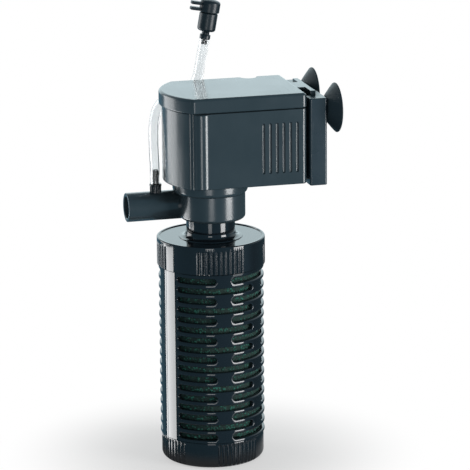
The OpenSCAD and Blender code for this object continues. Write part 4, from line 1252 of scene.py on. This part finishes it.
def build_internals():
    """Dresses the pieces inside with rounded edges and their own finishes."""
    steel = laminated_steel()
    wire = copper_winding()
    rows = (
        ("core_tube", "cup", "core_grey", "core_grey", 0.2),
        ("neck_seal", "canister_top", "seal_rubber", "seal_rubber", 0),
        ("volute_seal", "head", "seal_rubber", "seal_rubber", 0),
        ("inlet_bush", "head", "bush_graphite", "bush_graphite", 0.25),
        ("well_bush", "head", "bush_graphite", "bush_graphite", 0.25),
        ("impeller", "rotor", "impeller_grey", "impeller_grey", 0.2),
        ("rotor_magnet", "rotor", "sintered_ferrite", "ferrite", 0.5),
        ("rotor_shaft", "head", "ceramic_white", "ceramic_white", 0.25),
        ("stator_core", "head", steel, "core_steel", 0.08),
        ("coil_bobbin", "head", "bobbin_cream", "bobbin_cream", 0.2),
        ("coil_winding", "head", wire, "copper_wire", 0.3))
    for node, body, finish, slot, width in rows:
        material = moulded(finish) if isinstance(finish, str) else finish
        dressed(node, body, material, slot, width)


# ---- Studio ----

LOOK = (13.83, 0.41, 130.0)


def axes(right, up, back, place):
    """The matrix of an object at a place with these axes."""
    return Matrix((*zip(right, up, back, place), (0, 0, 0, 1)))


def side_direction(degrees):
    """A level direction, at an angle to the right of the camera's own side of the object."""
    a = studio().azimuth + math.radians(degrees)
    return Vector((math.sin(a), -math.cos(a), 0))


def build_camera():
    """Camera with its direction, roll and distance from the settings."""
    view = studio()
    back = side_direction(0) * math.cos(view.elevation) + Vector((0, 0, math.sin(view.elevation)))
    level = side_direction(90)
    above = back.cross(level)
    right = level * math.cos(view.roll) + above * math.sin(view.roll)
    up = above * math.cos(view.roll) - level * math.sin(view.roll)
    target = right * LOOK[0] * MM + up * LOOK[1] * MM + Vector((0, 0, LOOK[2] * MM))
    data = bpy.data.cameras.new("camera")
    data.lens = view.lens
    data.sensor_width = 36
    data.clip_start = 0.05
    camera = new_object("camera", data)
    camera.matrix_world = axes(right, up, back, target + back * view.distance)
    bpy.context.scene.camera = camera


def wall_light(name, degrees, distance, width, z0, z1, radiance, tint=(1, 1, 1)):
    """A soft upright lamp that faces the object, from height z0 to z1; lengths in metres."""
    height = z1 - z0
    data = bpy.data.lights.new(name, "AREA")
    data.shape = "RECTANGLE"
    data.size, data.size_y = width, height
    data.energy = math.pi * radiance * width * height
    data.color = tint
    lamp = new_object(name, data)
    up, out = Vector((0, 0, 1)), side_direction(degrees)
    lamp.matrix_world = axes(up.cross(out), up, out, out * distance + up * (z0 + z1) / 2)
    lamp.visible_camera = False


def build_lights():
    """Soft lamps: a narrow one in front, two on each side, one above the other, and one behind."""
    wall_light("front_light", -2, 1.5, 0.44, -0.245, 0.35, 4.5)
    wall_light("right_light", 61, 1.5, 0.62, -0.262, 0.60, 13.0)
    wall_light("right_low_light", 61, 1.5, 0.62, -0.70, -0.265, 2.0)
    wall_light("left_light", -114, 1.5, 0.86, -0.212, 0.75, 3.8)
    wall_light("left_low_light", -104, 1.5, 0.92, -0.70, -0.248, 9.0)
    wall_light("back_light", 180, 1.6, 2.2, 0.10, 1.2, 0.95, (0.80, 0.97, 1.0))


def seen_by_camera(board, ray):
    """One for rays from the camera, also through clear pieces, else zero."""
    return board.maths("MAXIMUM", ray.outputs["Is Camera Ray"], ray.outputs["Is Transmission Ray"])


def build_world():
    """World: white to the camera, an even fill, and in reflections pale behind, dark in front."""
    world = bpy.data.worlds.new("studio_world")
    bpy.context.scene.world = world
    board = new_board(world)
    direction = board.add("ShaderNodeTexCoord").outputs["Generated"]
    height = board.part(direction, "Z")
    behind, past = (
        board.add("ShaderNodeVectorMath", direction, side_direction(degrees),
                  operation="DOT_PRODUCT").outputs["Value"] for degrees in (180, 140))
    pale = board.product(
        board.ramp(behind, -0.1, 0.4), board.ramp(height, -0.14, 0.06),
        board.ramp(height, 0.45, 0.9, 1.0, 0.1))
    corner = board.product(board.ramp(past, 0.45, 0.8), board.ramp(height, -0.19, -0.1, 1.0, 0.0))
    dark = board.mix(corner, (0.12, 0.27, 0.37, 1), (0.03, 0.07, 0.09, 1))
    reflected = board.mix(pale, dark, (0.66, 0.80, 0.86, 1))
    ray = board.add("ShaderNodeLightPath")
    fill = studio().fill
    light = board.mix(ray.outputs["Is Glossy Ray"], (fill, fill, fill, 1), reflected)
    background = board.add(
        "ShaderNodeBackground", color=board.mix(seen_by_camera(board, ray), light, (1, 1, 1, 1)))
    board.add("ShaderNodeOutputWorld", surface=background.outputs[0])


def build_floor():
    """Round pale floor that turns white towards its rim and shows no reflection of itself."""
    radius = studio().floor_r
    deselect()
    bpy.ops.mesh.primitive_circle_add(
        vertices=96, radius=radius, fill_type="NGON", location=(0.005, 0, -0.0001))
    floor = bpy.context.object
    floor.name = "floor"
    bpy.ops.object.transform_apply(location=True)
    edit(floor)
    bpy.ops.mesh.inset(thickness=radius * 0.4)
    leave_edit()
    material = bpy.data.materials.new("studio_floor")
    board = new_board(material)
    pale = board.add("ShaderNodeBsdfDiffuse", color=(0.86, 0.86, 0.86, 1))
    white = board.add("ShaderNodeEmission")
    clear = board.add("ShaderNodeBsdfTransparent")
    away = board.add("ShaderNodeVectorMath", board.place(), operation="LENGTH").outputs["Value"]
    ray = board.add("ShaderNodeLightPath")
    rim = board.ramp(away, radius * 0.2, radius * 0.7, 0.5, 1.0)
    plain = board.add("ShaderNodeMixShader", board.product(seen_by_camera(board, ray), rim),
                      pale.outputs[0], white.outputs[0])
    hidden = board.product(ray.outputs["Is Glossy Ray"], board.ramp(away, 0.036, 0.060))
    final = board.add("ShaderNodeMixShader", hidden, plain.outputs[0], clear.outputs[0])
    board.add("ShaderNodeOutputMaterial", surface=final.outputs[0])
    floor.data.materials.append(material)


# ---- Operators ----

class FILTER_OT_stage(bpy.types.Operator):
    """Sets up the floor, the world, the lamps and the camera"""
    bl_idname = "filter_looks.stage"
    bl_label = "Stage"

    def execute(self, context):
        context.scene.view_settings.view_transform = "Standard"
        build_camera()
        build_world()
        build_lights()
        build_floor()
        return {"FINISHED"}


class FILTER_OT_air_line(bpy.types.Operator):
    bl_idname = "filter_looks.air_line"
    bl_label = "Air line"

    def execute(self, context):
        build_air_nozzle()
        hose = build_air_hose()
        valve = [build_valve_body(), build_valve_knob()]
        return {"FINISHED"}


class FILTER_OT_bottom_cap(bpy.types.Operator):
    """Models the screw-on cap with its grip grooves"""
    bl_idname = "filter_looks.bottom_cap"
    bl_label = "Bottom cap"

    def execute(self, context):
        build_bottom_cap()
        return {"FINISHED"}


class FILTER_OT_filter_cup(bpy.types.Operator):
    """Models the slotted cup with its spigots and lugs"""
    bl_idname = "filter_looks.filter_cup"
    bl_label = "Filter cup"

    def execute(self, context):
        build_filter_cup()
        return {"FINISHED"}


class FILTER_OT_foam(bpy.types.Operator):
    """Models the foam cylinder inside the cup"""
    bl_idname = "filter_looks.foam"
    bl_label = "Foam"

    def execute(self, context):
        build_foam()
        return {"FINISHED"}


class FILTER_OT_canister_head(bpy.types.Operator):
    """Models the top ring of the canister with its neck"""
    bl_idname = "filter_looks.canister_head"
    bl_label = "Canister head"

    def execute(self, context):
        build_canister_head()
        return {"FINISHED"}


class FILTER_OT_volute(bpy.types.Operator):
    """Models the pump chamber with its outlet"""
    bl_idname = "filter_looks.volute"
    bl_label = "Pump chamber"

    def execute(self, context):
        build_volute()
        return {"FINISHED"}


class FILTER_OT_motor_head(bpy.types.Operator):
    """Models the motor housing, its lid and the rubber inlet of the mains lead"""
    bl_idname = "filter_looks.motor_head"
    bl_label = "Motor head"

    def execute(self, context):
        build_housing()
        build_lid()
        build_gland()
        return {"FINISHED"}


class FILTER_OT_bracket(bpy.types.Operator):
    """Models the wall bracket and its two suction cups"""
    bl_idname = "filter_looks.bracket"
    bl_label = "Bracket and cups"

    def execute(self, context):
        build_bracket()
        build_suction_cups()
        return {"FINISHED"}


class FILTER_OT_internals(bpy.types.Operator):
    """Dresses the pieces of the pump and the motor inside"""
    bl_idname = "filter_looks.internals"
    bl_label = "Internals"

    def execute(self, context):
        build_internals()
        return {"FINISHED"}


STEPS = (
    FILTER_OT_stage, FILTER_OT_air_line, FILTER_OT_bottom_cap, FILTER_OT_filter_cup,
    FILTER_OT_foam, FILTER_OT_canister_head, FILTER_OT_volute, FILTER_OT_motor_head,
    FILTER_OT_bracket, FILTER_OT_internals)


class FILTER_PT_looks(bpy.types.Panel):
    """Sizes, colours and building steps of the filter"""
    bl_label = "Canister Filter"
    bl_idname = "FILTER_PT_looks"
    bl_space_type = "VIEW_3D"
    bl_region_type = "UI"
    bl_category = "Filter"

    def draw(self, context):
        layout = self.layout
        for key in GROUPS:
            group = getattr(context.scene, key)
            box = layout.box()
            box.label(text=key.split("_")[1].title())
            for name in group.bl_rna.properties.keys():
                if name not in {"rna_type", "name"}:
                    box.prop(group, name)
        for step in STEPS:
            layout.operator(step.bl_idname)


GROUPS = {
    "filter_sizes": FilterSizes, "filter_colours": FilterColours, "filter_studio": FilterStudio}


def register():
    """Registers the settings, the operators and the panel."""
    for name, group in GROUPS.items():
        bpy.utils.register_class(group)
        setattr(bpy.types.Scene, name, PointerProperty(type=group))
    for item in (*STEPS, FILTER_PT_looks):
        bpy.utils.register_class(item)


def unregister():
    """Takes the panel, the operators and the settings away again."""
    for item in (FILTER_PT_looks, *reversed(STEPS)):
        bpy.utils.unregister_class(item)
    for name, group in GROUPS.items():
        delattr(bpy.types.Scene, name)
        bpy.utils.unregister_class(group)


def main():
    """Registers the settings and runs every building step."""
    register()
    for step in STEPS:
        family, name = step.bl_idname.split(".")
        getattr(getattr(bpy.ops, family), name)()


if __name__ == "__main__":
    main()
